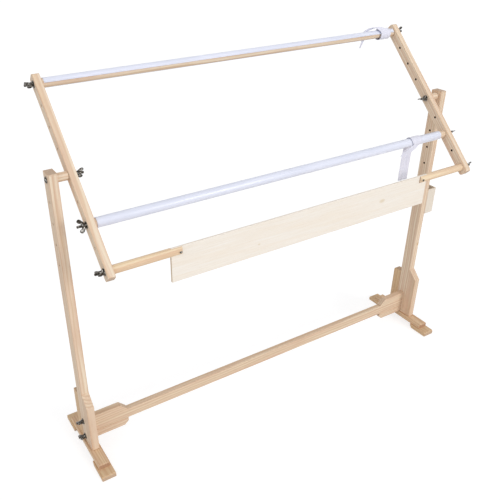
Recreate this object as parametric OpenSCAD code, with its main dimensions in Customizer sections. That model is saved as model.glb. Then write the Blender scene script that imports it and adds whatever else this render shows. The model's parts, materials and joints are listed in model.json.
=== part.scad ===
// Embroidery floor stand: two footed posts joined by one low stretcher, and a
// tilting work frame of two drilled arms, two clip rollers and a rest board.
// X runs along the rollers, -Y is the worker's side, +Z is up.
// The origin is on the floor, under the middle of the whole stand.

/* [Posts] */
// Width over the outer faces of the two posts
stand_w = 1120; // [800:5:1300]
// Height of the post tops above the floor
post_h = 760; // [700:5:860]
// Post thickness along X
post_t = 19; // [16:0.5:24]
// Post depth along Y
post_d = 36; // [30:1:46]
// Bevel on the post edges
post_bevel = 1.5; // [0.5:0.5:3]
// Drop from the post top to the pivot hole
pivot_drop = 15; // [12:1:24]
// Distance between the height holes
post_pitch = 49; // [40:1:56]
// Number of height holes, the pivot's own included
post_holes = 5; // [2:1:6]

/* [Feet] */
// Length of the upper foot rail
rail_l = 196; // [160:2:260]
// Width of the upper foot rail
rail_w = 30; // [24:1:40]
// Thickness of the upper foot rail
rail_t = 14; // [10:1:20]
// Length of each toe pad
pad_l = 64; // [50:1:90]
// Width of each toe pad
pad_w = 36; // [30:1:46]
// Thickness of each toe pad
pad_t = 13; // [8:1:20]
// Length over both toe pads
foot_l = 252; // [220:2:340]

/* [Post bases] */
// Depth of the blocks in front of and behind each post
base_d = 27; // [18:1:36]
// Height of the bevelled front block, above the foot
front_h = 166; // [120:2:220]
// Rise of the front block's bevel
front_bevel = 28; // [10:1:40]
// Height of the rear block, above the foot
rear_h = 144; // [100:2:200]
// Corner radius of the rear block
rear_r = 7; // [3:1:14]

/* [Stretcher] */
// Stretcher height
str_h = 29; // [22:1:40]
// Stretcher thickness
str_t = 16; // [12:1:22]
// Height of the stretcher's centre line above the floor
str_z = 66; // [60:1:110]
// Height of each cheek block above or below the stretcher
cheek_h = 21; // [14:1:24]
// Length of each cheek block
cheek_l = 98; // [60:2:140]
// Bevel at the free end of an upper cheek
cheek_top_c = 19; // [4:1:20]
// Bevel at the free end of a lower cheek
cheek_low_c = 11; // [4:1:14]

/* [Arms] */
// Tilt of the arms away from upright, tops to the rear
arm_tilt = 46; // [20:1:60]
// Arm length
arm_l = 464; // [420:2:520]
// Arm width
arm_w = 25; // [22:1:32]
// Arm thickness along X
arm_t = 16; // [12:0.5:20]
// Corner radius of the arm ends
arm_r = 6; // [3:0.5:10]
// Gap between a post and the arm beside it
arm_gap = 25; // [24:1:36]
// Distance from the pivot to the first hole either way
hole_first = 60; // [50:1:70]
// Distance between the other holes
hole_pitch = 51; // [44:1:56]
// Number of holes either side of the pivot
hole_n = 4; // [4:1:5]

/* [Rollers] */
// Diameter of the rollers, the spacers and the rest rail
dowel_d = 19; // [16:0.5:22]
// Wall of the snap-on clips
clip_wall = 1.5; // [1.2:0.1:2]
// Part of the round that a clip covers, in degrees
clip_wrap = 232; // [200:2:250]
// Length of the upper clip
top_clip_l = 992; // [600:2:992]
// Length of the lower clip
low_clip_l = 976; // [600:2:980]

/* [Rest board] */
// Board length
board_l = 740; // [500:5:760]
// Board height
board_h = 82; // [60:1:84]
// Board thickness
board_t = 6; // [4:0.5:8]
// Overlap of each rail end on the board
lap_l = 25; // [18:1:40]

/* [Tool holder] */
// Holder width, out from the post
holder_w = 31; // [24:1:40]
// Holder height
holder_h = 79; // [60:1:100]
// Height of the holder's bottom above the floor
holder_z = 387; // [300:1:420]
// Wall round the pocket on its three free sides
holder_wall = 3; // [2.5:0.5:6]
// Wall of the pocket against the post
holder_back = 5; // [4:0.5:8]
// Depth of the pocket
pocket_depth = 62; // [30:1:70]

/* [Fixings] */
// Diameter of the studs and bolts
stud_d = 6; // [5:0.5:6]
// Radial clearance of a stud in its hole
hole_fit = 0.05; // [0.03:0.01:0.08]
// Span of a wing nut over its wings
wing_span = 30; // [24:1:32]
// Height of a wing nut over its wings
wing_h = 15; // [13:0.5:16]
// Thickness of the wings
wing_t = 2.4; // [1.8:0.2:3.2]
// Washer diameter
washer_d = 16; // [13:1:18]
// Washer thickness
washer_t = 1.4; // [1:0.1:2]

/* [Tie tapes] */
// Width of the flat stretches of both tapes
tape_w = 34; // [20:1:45]
// Cloth thickness
tape_t = 0.9; // [0.6:0.1:1.2]
// Length of the lower tape below its roller
tape_drop = 112; // [60:1:120]
// Length of the upper tape's tail below its roller
tail_drop = 35; // [20:1:60]
// Distance of the lower tape from the middle of the stand
tape_x = 388; // [300:1:390]
// Distance of the upper tape's flat band from the middle of the stand
band_x = 463; // [400:1:464]
// Sideways step from the upper tape's band to its tail
tail_step = 52; // [30:1:70]

/* [Hidden] */
$fn = 48;
stud_r = stud_d / 2;
hole_r = stud_r + hole_fit;
seat = 0.02;           // working gap between pieces that touch
play = 0.3;            // gap between pieces that turn on each other
post_x = stand_w / 2 - post_t / 2;
post_in = stand_w / 2 - post_t;
foot_top = pad_t + rail_t;
pivot_z = post_h - pivot_drop;
arm_out = post_in - arm_gap;
arm_in = arm_out - arm_t;
arm_x = arm_in + arm_t / 2;
dowel_r = dowel_d / 2;
roller_l = 2 * arm_in - 1.2;
clip_in = dowel_r + seat;
clip_out = clip_in + clip_wall;
s_top = hole_first + (hole_n - 1) * hole_pitch;
s_low = -(hole_first + hole_pitch);
s_rest = -s_top;
stud_sunk = 42;
stud_out = 20;         // stud beyond an arm's outer face
post_stud_out = 18;    // stretcher stud beyond a post's outer face
mid_x = (post_stud_out - holder_w) / 2;
holder_screw_r = 2;
holder_screws = [0.42, 0.78]; // as parts of the holder's height
wood = [0.87, 0.76, 0.62];
wood_dark = [0.80, 0.67, 0.52];
pale = [0.93, 0.89, 0.82];
steel = [0.42, 0.41, 0.40];
white = [0.90, 0.92, 0.98];
cloth = [0.94, 0.94, 0.97];

// Place children on the tilting frame, s along the arms from the pivot
function arm_y(s) = s * sin(arm_tilt);
function arm_z(s) = pivot_z + s * cos(arm_tilt);
module at_hole(s) {
    translate([0, arm_y(s), arm_z(s)]) children();
}

// Move a finished piece so that the origin is under the middle of the whole stand
module put() { translate([mid_x, 0, 0]) children(); }

// Mirror a left-hand piece to the right
module side(s) {
    if (s > 0) mirror([1, 0, 0]) children();
    else children();
}

// Rod along X from x0 to x1
module rod(x0, x1, r) {
    translate([x0, 0, 0]) rotate([0, 90, 0]) cylinder(h = x1 - x0, r = r);
}

// Rod along X with a bevelled free end at x0
module stud(x0, x1, r) {
    tip = 1;
    translate([x0, 0, 0]) rotate([0, 90, 0]) rotate_extrude()
        polygon([[0, 0], [r - tip, 0], [r, tip], [r, x1 - x0], [0, x1 - x0]]);
}

// Rectangle with four cut corners, centred
module cut_rect(w, d, c) {
    polygon([
        [-w / 2 + c, -d / 2], [w / 2 - c, -d / 2], [w / 2, -d / 2 + c],
        [w / 2, d / 2 - c], [w / 2 - c, d / 2], [-w / 2 + c, d / 2],
        [-w / 2, d / 2 - c], [-w / 2, -d / 2 + c]
    ]);
}

// Rectangle with four round corners, centred
module round_rect(w, l, r) {
    square([w - 2 * r, l], center = true);
    square([w, l - 2 * r], center = true);
    for (x = [-1, 1], y = [-1, 1])
        translate([x * (w / 2 - r), y * (l / 2 - r)]) circle(r = r);
}

// Board laid along X with its outline drawn in Y and Z
module along_x(x0, x1) {
    translate([x0, 0, 0]) rotate([90, 0, 90]) linear_extrude(x1 - x0) children();
}

// Wing nut with its base at 0 and its axis along +Z
module wing_nut() {
    hub_r = 6;
    top_r = 4.4;
    hub_h = 8;
    root_z = 1.5;
    lobe_r = 4.6;
    lobe_x = wing_span / 2 - lobe_r;
    lobe_z = wing_h - lobe_r;
    difference() {
        union() {
            cylinder(h = hub_h, r1 = hub_r, r2 = top_r);
            for (k = [0, 180]) rotate([0, 0, k]) rotate([90, 0, 0])
                translate([0, 0, -wing_t / 2]) linear_extrude(wing_t) {
                    translate([lobe_x, lobe_z]) circle(r = lobe_r, $fn = 32);
                    polygon([
                        [3.6, root_z], [hub_r - 0.4, root_z],
                        [lobe_x + 3.4, lobe_z - 3.1], [lobe_x - 2.6, lobe_z + 3.8],
                        [3.6, hub_h - 1]
                    ]);
                }
        }
        translate([0, 0, -1]) cylinder(h = wing_h + 2, r = hole_r);
    }
}

// Wing nut on a stud along X, its base at x, pointing to -X on the left
module nut_at(x, turn) {
    translate([x, 0, 0]) rotate([turn, 0, 0]) rotate([0, -90, 0]) wing_nut();
}

module washer(x0) {
    difference() {
        rod(x0, x0 + washer_t, washer_d / 2);
        rod(x0 - 1, x0 + washer_t + 1, hole_r);
    }
}

// Left-hand pieces; the right-hand ones are their mirror images

module post_body() {
    difference() {
        translate([-post_x, 0, foot_top]) linear_extrude(post_h - foot_top)
            cut_rect(post_t, post_d, post_bevel);
        for (k = [0 : post_holes - 1])
            translate([0, 0, pivot_z - k * post_pitch])
                rod(-stand_w / 2 - 1, -post_in + 1, hole_r);
        for (k = [-1, 1])
            translate([0, 0, str_z + k * (str_h + cheek_h) / 2])
                rod(-stand_w / 2 - 1, -post_in + 1, hole_r);
        // eased top corners, front and rear
        for (k = [-1, 1])
            translate([-post_x, k * post_d / 2, post_h]) rotate([45, 0, 0])
                cube([post_t + 2, 4, 4], center = true);
    }
}

module front_block_body() {
    y0 = -post_d / 2;
    along_x(-stand_w / 2, -post_in) polygon([
        [y0, foot_top], [y0 - base_d + 1, foot_top],
        [y0 - base_d, foot_top + 1],
        [y0 - base_d, foot_top + front_h - front_bevel],
        [y0, foot_top + front_h]
    ]);
}

module rear_block_body() {
    y0 = post_d / 2;
    along_x(-stand_w / 2, -post_in) {
        translate([y0, foot_top]) square([base_d, rear_h - rear_r]);
        translate([y0, foot_top]) square([base_d - rear_r, rear_h]);
        translate([y0 + base_d - rear_r, foot_top + rear_h - rear_r]) circle(r = rear_r);
    }
}

module foot_rail_body() {
    e = rail_l / 2;
    difference() {
        translate([-post_x, 0, pad_t]) translate([0, e, 0]) rotate([90, 0, 0])
            linear_extrude(rail_l) polygon([
                [-rail_w / 2, 0], [rail_w / 2, 0],
                [rail_w / 2, rail_t - 2], [rail_w / 2 - 2, rail_t],
                [-rail_w / 2 + 2, rail_t], [-rail_w / 2, rail_t - 2]
            ]);
        // small bevels across both ends
        for (k = [-1, 1])
            translate([-post_x, k * e, foot_top]) rotate([45, 0, 0])
                cube([rail_w + 2, 3, 3], center = true);
    }
}

// Toe pad: k = -1 in front, 1 behind; bevelled toe, sloped relief
module pad_body(k) {
    y_toe = foot_l / 2;
    y_heel = foot_l / 2 - pad_l;
    toe = 3;
    slope = 7;
    mirror([0, k < 0 ? 1 : 0, 0])
        along_x(-post_x - pad_w / 2, -post_x + pad_w / 2) polygon([
            [y_heel + slope, 0], [y_toe - 1, 0], [y_toe, 1],
            [y_toe, pad_t - toe], [y_toe - toe, pad_t], [y_heel, pad_t],
            [y_heel, pad_t - 3]
        ]);
}

// Cheek block: k = 1 above the stretcher, -1 below it
module cheek_body(k) {
    c = k > 0 ? cheek_top_c : cheek_low_c;
    x0 = -post_in;
    x1 = x0 + cheek_l;
    z0 = str_h / 2;
    z1 = z0 + cheek_h;
    difference() {
        translate([0, str_t / 2, str_z]) mirror([0, 0, k > 0 ? 0 : 1])
            rotate([90, 0, 0]) linear_extrude(str_t) polygon([
                [x0, z0], [x1, z0], [x1, z1 - c], [x1 - c, z1], [x0, z1]
            ]);
        translate([0, 0, str_z + k * (str_h + cheek_h) / 2])
            rod(x0 - 1, x0 + stud_sunk, stud_r + seat);
    }
}

module spacer_body() {
    difference() {
        rod(-post_in, -arm_out - play, dowel_r);
        rod(-post_in - 1, -arm_out + 1, hole_r);
    }
}

// Round-headed bolt through post, spacer and arm
module pivot_bolt_body() {
    head_r = 7;
    head_h = 3.6;
    x_head = -stand_w / 2;
    x_end = -arm_in + 18;
    translate([x_head, 0, 0]) rotate([0, -90, 0]) rotate_extrude()
        polygon([
            [0, 0], [head_r, 0], [head_r, 0.8], [head_r - 1.2, 2.4],
            [head_r - 3.4, head_h], [0, head_h]
        ]);
    mirror([1, 0, 0]) stud(-x_end, -x_head, stud_r);
}

module arm_body() {
    difference() {
        translate([-arm_out, 0, pivot_z]) rotate([-arm_tilt, 0, 0])
            rotate([90, 0, 90]) linear_extrude(arm_t)
                round_rect(arm_w, arm_l, arm_r);
        at_hole(0) rod(-arm_out - 1, -arm_in + 1, hole_r);
        for (k = [-1, 1], i = [0 : hole_n - 1])
            at_hole(k * (hole_first + i * hole_pitch))
                rod(-arm_out - 1, -arm_in + 1, hole_r);
    }
}

// Roller with a blind stud hole in each end
module roller_body() {
    e = roller_l / 2;
    bevel = 1;
    difference() {
        translate([-e, 0, 0]) rotate([0, 90, 0]) rotate_extrude() polygon([
            [0, 0], [dowel_r - bevel, 0], [dowel_r, bevel],
            [dowel_r, roller_l - bevel], [dowel_r - bevel, roller_l], [0, roller_l]
        ]);
        for (k = [-1, 1])
            translate([k * e, 0, 0]) rotate([0, 90, 0])
                cylinder(h = 2 * stud_sunk, r = stud_r + seat, center = true);
    }
}

// Studs out of both ends of a roller, through the arms
module roller_studs_body(inner) {
    for (s = [-1, 1]) side(s)
        stud(-arm_out - stud_out, -inner + stud_sunk - 1, stud_r);
}

// Snap-on clip: an open round with beaded lips, its back towards angle a
module clip_body(len, a) {
    half = (360 - clip_wrap) / 2;
    r_mid = (clip_in + clip_out) / 2;
    far = 3 * clip_out;
    translate([-len / 2, 0, 0]) rotate([90, 0, 90]) linear_extrude(len)
        rotate(a) {
            difference() {
                circle(r = clip_out, $fn = 64);
                circle(r = clip_in, $fn = 64);
                polygon([
                    [0, 0], [-far * cos(half), far * sin(half)],
                    [-far, far], [-far, -far],
                    [-far * cos(half), -far * sin(half)]
                ]);
            }
            for (k = [-1, 1]) rotate(180 + k * half)
                translate([clip_out - 0.1, 0]) circle(r = 1.15, $fn = 24);
        }
}

// Half-lapped rail end, let into the front of the board
module rest_stub_body() {
    x1 = -board_l / 2 + lap_l;
    difference() {
        rod(-arm_in + 0.6, x1, dowel_r);
        translate([-board_l / 2 - seat, -board_t / 2 - seat, -dowel_d])
            cube([lap_l + 2, dowel_d, 2 * dowel_d]);
        rod(-arm_in - 1, -arm_in + stud_sunk, stud_r + seat);
        translate([x1 - 6, -dowel_r - 1, 0]) rotate([-90, 0, 0])
            cylinder(h = dowel_d, r = 1.6 + seat);
        // rounded free end
        translate([x1, -dowel_r, 0]) rotate([0, 0, 45])
            cube([5, 5, 2 * dowel_d], center = true);
    }
}

module rest_screw_body() {
    x = -board_l / 2 + lap_l - 6;
    head_r = 3;
    translate([x, -dowel_r, 0]) rotate([-90, 0, 0]) {
        cylinder(h = dowel_r + board_t / 2 - 1, r = 1.6);
        translate([0, 0, -1.4]) cylinder(h = 1.4, r1 = head_r - 1, r2 = head_r);
    }
}

// Holder on the outer face of the right post, drawn on the left for side()
module holder_body() {
    x0 = -stand_w / 2 - holder_w;
    w = holder_wall;
    difference() {
        translate([x0, -post_d / 2, holder_z]) cube([holder_w, post_d, holder_h]);
        translate([x0 + w, -post_d / 2 + w, holder_z + holder_h - pocket_depth])
            cube([holder_w - w - holder_back, post_d - 2 * w, pocket_depth + 1]);
        for (k = holder_screws)
            translate([0, 0, holder_z + k * holder_h])
                rod(x0 + holder_w - holder_back - 1, x0 + holder_w + 1, holder_screw_r + seat);
    }
}

// Screws from inside the pocket, up to the post
module holder_screws_body() {
    x1 = -stand_w / 2;
    x_head = x1 - holder_back - 0.2;
    for (k = holder_screws)
        translate([0, 0, holder_z + k * holder_h]) {
            rod(x_head, x1, holder_screw_r);
            translate([x_head, 0, 0]) rotate([0, -90, 0])
                cylinder(h = 2, r1 = 3.6, r2 = 2.4);
        }
}

// Strip of cloth through rows of [centre, across, out, width, fold depth]: its
// folds are two waves across the width
folds = 2;
strip_cols = 14;
function strip_point(row, u, h) =
    row[0] + row[1] * row[3] * u / 2 + row[2] * (row[4] * cos(180 * folds * u) + h);
module cloth_strip(rows) {
    n = len(rows);
    m = strip_cols + 1;
    function at(layer, i, j) = (layer * n + i) * m + j;
    function quad(a, b, c, d) = [[a, b, c], [a, c, d]];
    polyhedron(
        points = [for (h = [tape_t / 2, -tape_t / 2], row = rows, j = [0 : strip_cols])
            strip_point(row, 2 * j / strip_cols - 1, h)],
        faces = concat(
            [for (i = [0 : n - 2], j = [0 : strip_cols - 1]) each concat(
                quad(at(0, i, j), at(0, i, j + 1), at(0, i + 1, j + 1), at(0, i + 1, j)),
                quad(at(1, i, j), at(1, i + 1, j), at(1, i + 1, j + 1), at(1, i, j + 1)))],
            [for (i = [0 : n - 2]) each concat(
                quad(at(0, i, 0), at(0, i + 1, 0), at(1, i + 1, 0), at(1, i, 0)),
                quad(at(0, i, strip_cols), at(1, i, strip_cols),
                    at(1, i + 1, strip_cols), at(0, i + 1, strip_cols)))],
            [for (j = [0 : strip_cols - 1]) each concat(
                quad(at(0, 0, j), at(1, 0, j), at(1, 0, j + 1), at(0, 0, j + 1)),
                quad(at(0, n - 1, j), at(0, n - 1, j + 1),
                    at(1, n - 1, j + 1), at(1, n - 1, j)))]
        )
    );
}

// Smooth step from 0 at a to 1 at b
function ease(v, a, b) =
    let (k = min(1, max(0, (v - a) / (b - a)))) k * k * (3 - 2 * k);
function unit(v) = v / norm(v);

// Row round a roller: angle 0 is the front, 90 the top and 180 the back
function round_row(a, x, r, w, fold) =
    [[x, -r * cos(a), r * sin(a)], [1, 0, 0], [0, -cos(a), sin(a)], w, fold];

// Upper tape: once round the roller flat, then bunched, over and down behind
tape_in = clip_out + 1.1;
band_end = 380;
over_end = 520;
function top_row(a) =
    let (k = ease(a, band_end, over_end), lap = (a + 60) / 360)
    round_row(a, band_x - tail_step * k,
        tape_in + tape_t * (0.5 + 2 * lap) + 3.5 * pow(sin(180 * k), 2),
        tape_w - (tape_w - 11) * k, 0.2 + 1.3 * k);
function tail_row(k) =
    let (start = top_row(540))
    [start[0] - [9 * k * k, -2 * k, tail_drop * k], unit([1, 0.3 * k, -0.25 * k]),
        unit([-0.3 * k, 1, 0]), 11 - 6 * k, 1.3 * (1 - 0.6 * k)];

// Lower tape: a short pointed tail in front, once over the roller and down behind
loop_in = clip_out + 1.4;
loop_r = loop_in + tape_t / 2;
function point_row(c, w) = [c, unit([0.8, 0, -0.6]), unit([0.35, -0.8, 0.47]), w, 0.3];
function hang_row(k) =
    [[tape_x - 4 * k, loop_r + 1.5 * sin(180 * k), -tape_drop * k],
        [1, 0, 0], [0, 1, 0], tape_w, 1.1 * ease(k, 0, 0.5)];

// Nodes

module left_post() { color(wood) put() post_body(); }
module right_post() { color(wood) put() side(1) post_body(); }
module left_front_block() { color(wood) put() front_block_body(); }
module right_front_block() { color(wood) put() side(1) front_block_body(); }
module left_rear_block() { color(wood_dark) put() rear_block_body(); }
module right_rear_block() { color(wood_dark) put() side(1) rear_block_body(); }
module left_foot_rail() { color(wood) put() foot_rail_body(); }
module right_foot_rail() { color(wood) put() side(1) foot_rail_body(); }
module left_front_pad() { color(wood_dark) put() pad_body(-1); }
module right_front_pad() { color(wood_dark) put() side(1) pad_body(-1); }
module left_rear_pad() { color(wood_dark) put() pad_body(1); }
module right_rear_pad() { color(wood_dark) put() side(1) pad_body(1); }

module stretcher() {
    color(wood) put() translate([-post_in, 0, str_z]) rotate([90, 0, 90])
        linear_extrude(2 * post_in) cut_rect(str_t, str_h, 1);
}
module left_upper_cheek() { color(wood) put() cheek_body(1); }
module left_lower_cheek() { color(wood) put() cheek_body(-1); }
module right_upper_cheek() { color(wood) put() side(1) cheek_body(1); }
module right_lower_cheek() { color(wood) put() side(1) cheek_body(-1); }
module stretcher_studs() {
    color(steel) put() for (s = [-1, 1], k = [-1, 1])
        translate([0, 0, str_z + k * (str_h + cheek_h) / 2]) side(s)
            stud(-stand_w / 2 - post_stud_out, -post_in + stud_sunk - 1, stud_r);
}
module stretcher_washers() {
    color(steel) put() for (s = [-1, 1], k = [-1, 1])
        translate([0, 0, str_z + k * (str_h + cheek_h) / 2]) side(s)
            washer(-stand_w / 2 - washer_t);
}
module stretcher_nut(s, k, turn) {
    color(steel) put() translate([0, 0, str_z + k * (str_h + cheek_h) / 2]) side(s)
        nut_at(-stand_w / 2 - washer_t - play, turn);
}
module left_upper_wing_nut() { stretcher_nut(-1, 1, 60); }
module left_lower_wing_nut() { stretcher_nut(-1, -1, 70); }
module right_upper_wing_nut() { stretcher_nut(1, 1, 15); }
module right_lower_wing_nut() { stretcher_nut(1, -1, 100); }

module left_spacer() { color(wood) put() at_hole(0) spacer_body(); }
module right_spacer() { color(wood) put() at_hole(0) side(1) spacer_body(); }
module left_pivot_bolt() { color(steel) put() at_hole(0) pivot_bolt_body(); }
module right_pivot_bolt() { color(steel) put() at_hole(0) side(1) pivot_bolt_body(); }
module pivot_nut(turn) {
    mirror([1, 0, 0]) nut_at(arm_in - washer_t - play, turn);
}
module left_pivot_nut() { color(steel) put() at_hole(0) pivot_nut(30); }
module right_pivot_nut() { color(steel) put() at_hole(0) side(1) pivot_nut(75); }
module tool_holder() { color(pale) put() side(1) holder_body(); }
module holder_screws() { color(steel) put() side(1) holder_screws_body(); }

module left_arm() { color(wood) put() arm_body(); }
module right_arm() { color(wood) put() side(1) arm_body(); }
module arm_washers() {
    color(steel) put() for (s = [-1, 1]) side(s) {
        at_hole(0) washer(-arm_in);
        for (p = [s_top, s_low, s_rest]) at_hole(p) washer(-arm_out - washer_t);
    }
}

module top_roller() { color(wood) put() at_hole(s_top) roller_body(); }
module top_clip() { color(white) put() at_hole(s_top) clip_body(top_clip_l, 45); }
module top_studs() { color(steel) put() at_hole(s_top) roller_studs_body(roller_l / 2); }
module top_tape() {
    color(cloth) put() at_hole(s_top) cloth_strip(concat(
        [for (a = [-60 : 20 : 540]) top_row(a)],
        [for (k = [0.25 : 0.25 : 1]) tail_row(k)]
    ));
}
module lower_tape() {
    color(cloth) put() at_hole(s_low) cloth_strip(concat(
        [point_row([tape_x - 46, -5, -31], 2), point_row([tape_x - 34, -8, -24], 9),
            point_row([tape_x - 20, -11.5, -17], 16)],
        [for (a = [-20 : 20 : 180]) round_row(a, tape_x, loop_r,
            tape_w - 10 * ease(-a, -40, 30), 0)],
        [for (k = [0.08 : 0.115 : 1]) hang_row(k)]
    ));
}
module roller_nut(s, p, turn) {
    color(steel) put() at_hole(p) side(s) nut_at(-arm_out - washer_t - play, turn);
}
module left_top_nut() { roller_nut(-1, s_top, 100); }
module right_top_nut() { roller_nut(1, s_top, 20); }
module lower_roller() { color(wood) put() at_hole(s_low) roller_body(); }
module lower_clip() {
    color(white) put() at_hole(s_low) translate([-8, 0, 0]) clip_body(low_clip_l, 150);
}
module lower_studs() { color(steel) put() at_hole(s_low) roller_studs_body(roller_l / 2); }
module left_lower_nut() { roller_nut(-1, s_low, 135); }
module right_lower_nut() { roller_nut(1, s_low, 60); }

module left_rest_stub() { color(wood) put() at_hole(s_rest) rest_stub_body(); }
module right_rest_stub() { color(wood) put() at_hole(s_rest) side(1) rest_stub_body(); }
module rest_board() {
    color(pale) put() at_hole(s_rest) difference() {
        along_x(-board_l / 2, board_l / 2)
            translate([0, dowel_r - board_h / 2]) cut_rect(board_t, board_h, 0.8);
        for (s = [-1, 1])
            translate([s * (board_l / 2 - lap_l + 6), 0, 0]) rotate([90, 0, 0])
                cylinder(h = 2 * board_t, r = 1.6 + seat, center = true);
    }
}
module rest_screws() {
    color(steel) put() at_hole(s_rest) for (s = [-1, 1]) side(s) rest_screw_body();
}
module rest_studs() { color(steel) put() at_hole(s_rest) roller_studs_body(arm_in); }
module left_rest_nut() { roller_nut(-1, s_rest, 80); }
module right_rest_nut() { roller_nut(1, s_rest, 35); }

left_post();
left_front_block();
left_rear_block();
left_foot_rail();
left_front_pad();
left_rear_pad();
right_post();
right_front_block();
right_rear_block();
right_foot_rail();
right_front_pad();
right_rear_pad();
stretcher();
left_upper_cheek();
left_lower_cheek();
right_upper_cheek();
right_lower_cheek();
stretcher_studs();
stretcher_washers();
left_upper_wing_nut();
left_lower_wing_nut();
right_upper_wing_nut();
right_lower_wing_nut();
left_spacer();
right_spacer();
left_pivot_bolt();
right_pivot_bolt();
left_pivot_nut();
right_pivot_nut();
tool_holder();
holder_screws();
left_arm();
right_arm();
arm_washers();
lower_tape();
top_roller();
top_clip();
top_studs();
top_tape();
left_top_nut();
right_top_nut();
lower_roller();
lower_clip();
lower_studs();
left_lower_nut();
right_lower_nut();
left_rest_stub();
right_rest_stub();
rest_board();
rest_screws();
rest_studs();
left_rest_nut();
right_rest_nut();
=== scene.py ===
"""The looks of an embroidery floor stand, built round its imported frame."""

import json
import logging
import math
from dataclasses import dataclass
from enum import Enum

import bmesh
import bpy
import numpy as np
from mathutils import Matrix, Vector


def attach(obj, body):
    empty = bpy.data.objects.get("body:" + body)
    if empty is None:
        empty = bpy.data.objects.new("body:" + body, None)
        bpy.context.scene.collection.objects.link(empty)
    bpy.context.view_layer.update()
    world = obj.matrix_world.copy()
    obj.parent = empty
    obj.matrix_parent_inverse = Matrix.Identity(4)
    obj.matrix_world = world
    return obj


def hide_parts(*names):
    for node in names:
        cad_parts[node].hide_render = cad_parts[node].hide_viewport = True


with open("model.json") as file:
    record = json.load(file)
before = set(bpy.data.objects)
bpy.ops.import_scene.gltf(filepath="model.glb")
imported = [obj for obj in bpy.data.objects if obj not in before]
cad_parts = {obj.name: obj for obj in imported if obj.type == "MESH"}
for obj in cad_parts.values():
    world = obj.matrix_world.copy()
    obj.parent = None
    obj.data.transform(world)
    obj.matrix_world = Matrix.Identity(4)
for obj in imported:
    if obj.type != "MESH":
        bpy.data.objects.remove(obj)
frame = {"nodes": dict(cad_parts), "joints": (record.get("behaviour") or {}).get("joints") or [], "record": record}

Colour = tuple[float, float, float, float]
Triple = tuple[float, float, float]
Socket = bpy.types.NodeSocket
Material = bpy.types.Material
Mesh = bpy.types.Mesh
Piece = bpy.types.Object

LOG = logging.getLogger("floor_stand")
MM = 0.001
HALF_TURN = math.pi
FULL_TURN = 2 * math.pi
SAME_POINT = 0.000002
GROUP_GAP = 0.008
FLAT_ANGLE = math.radians(0.4)
CREASE_ANGLE = math.radians(32)


class Side(Enum):
    """The two sides of the stand, by the direction of X."""

    LEFT = -1
    RIGHT = 1

    @property
    def word(self) -> str:
        """The side's word in the names of nodes."""
        return self.name.lower()


class Grain(Enum):
    """The way that a board's grain runs."""

    UPRIGHT = "z"
    DEPTH = "y"
    ACROSS = "x"
    ARM = "arm"
    REST = "rest"


# Small sums


def srgb(red: float, green: float, blue: float) -> Colour:
    """Turn a colour as seen, 0 to 255, into the linear colour of a shader.

    Args:
        red: Red as seen.
        green: Green as seen.
        blue: Blue as seen.

    Returns:
        The linear colour with an alpha of 1.
    """
    shares = (value / 255 for value in (red, green, blue))
    return (*(share / 12.92 if share <= 0.04045 else ((share + 0.055) / 1.055) ** 2.4
              for share in shares), 1.0)


def ease(value: float, low: float, high: float) -> float:
    """Step smoothly from 0 at low to 1 at high.

    Args:
        value: Where to read the step.
        low: Where the step starts.
        high: Where the step ends.

    Returns:
        The step's height, from 0 to 1.
    """
    share = min(1.0, max(0.0, (value - low) / (high - low)))
    return share * share * (3 - 2 * share)


def split_levels(heights: np.ndarray) -> list[float]:
    """Find the middles of groups of heights that lie apart.

    Args:
        heights: Heights in metres.

    Returns:
        The middle of each group.
    """
    levels: list[list[float]] = []
    for height in np.unique(np.round(heights, 5)):
        if levels and height - levels[-1][-1] < GROUP_GAP:
            levels[-1].append(float(height))
        else:
            levels.append([float(height)])
    return [(group[0] + group[-1]) / 2 for group in levels]


# What the frame tells


def corners_of(name: str) -> np.ndarray:
    """Read the vertices of a node at rest.

    Args:
        name: The node's name.

    Returns:
        Its vertices, one row each, in metres.
    """
    vertices = frame["nodes"][name].data.vertices
    points = np.empty(len(vertices) * 3)
    vertices.foreach_get("co", points)
    return points.reshape(-1, 3)


def body_with(node: str) -> str:
    """Find the body that a node rides on."""
    groups = frame["record"]["behaviour"]["bodies"]
    return next(body for body, members in groups.items() if node in members)


def hinge_point(joint: str) -> Triple:
    """Give a point on a joint's axis, in metres."""
    return tuple(next(j["pos_m"] for j in frame["joints"] if j["name"] == joint))


def arm_direction() -> Vector:
    """Read the way that the arms point at rest.

    Returns:
        The direction from their lower ends to their upper ones.
    """
    low = Vector(hinge_point("rest_swing"))
    high = Vector(hinge_point("top_roller_turn"))
    return Vector((0, high.y - low.y, high.z - low.z)).normalized()


def board_face() -> Vector:
    """Read the way that the rest board's front faces at rest.

    Returns:
        The direction, square to the board.
    """
    points = corners_of("rest_board")[:, 1:]
    values, axes = np.linalg.eigh(np.cov((points - points.mean(0)).T))
    thin = axes[:, int(np.argmin(values))]
    return Vector((0, -abs(thin[0]), -thin[1] * np.sign(thin[0]))).normalized()


def grain_turn(grain: Grain) -> Matrix:
    """Give a board's axes, its grain first.

    Args:
        grain: The way that the grain runs.

    Returns:
        A matrix whose columns are the board's axes.
    """
    right, back, up = Vector((1, 0, 0)), Vector((0, 1, 0)), Vector((0, 0, 1))
    if grain is Grain.ARM:
        along, side = arm_direction(), right
    elif grain is Grain.REST:
        along, side = right, board_face()
    else:
        along, side = {Grain.ACROSS: (right, back), Grain.UPRIGHT: (up, right),
                       Grain.DEPTH: (back, right)}[grain]
    return Matrix((along, side, along.cross(side))).transposed()


def local_box(node: str, turn: Matrix) -> tuple[Vector, Vector]:
    """Measure a node along a board's own axes.

    Args:
        node: The node's name.
        turn: The board's axes.

    Returns:
        Its middle in metres, and half its size along the axes in millimetres.
    """
    axes = np.array(turn)
    inside = corners_of(node) @ axes
    low, high = inside.min(0), inside.max(0)
    middle = axes @ ((low + high) / 2)
    return Vector(middle), Vector((high - low) / 2 / MM)


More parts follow.
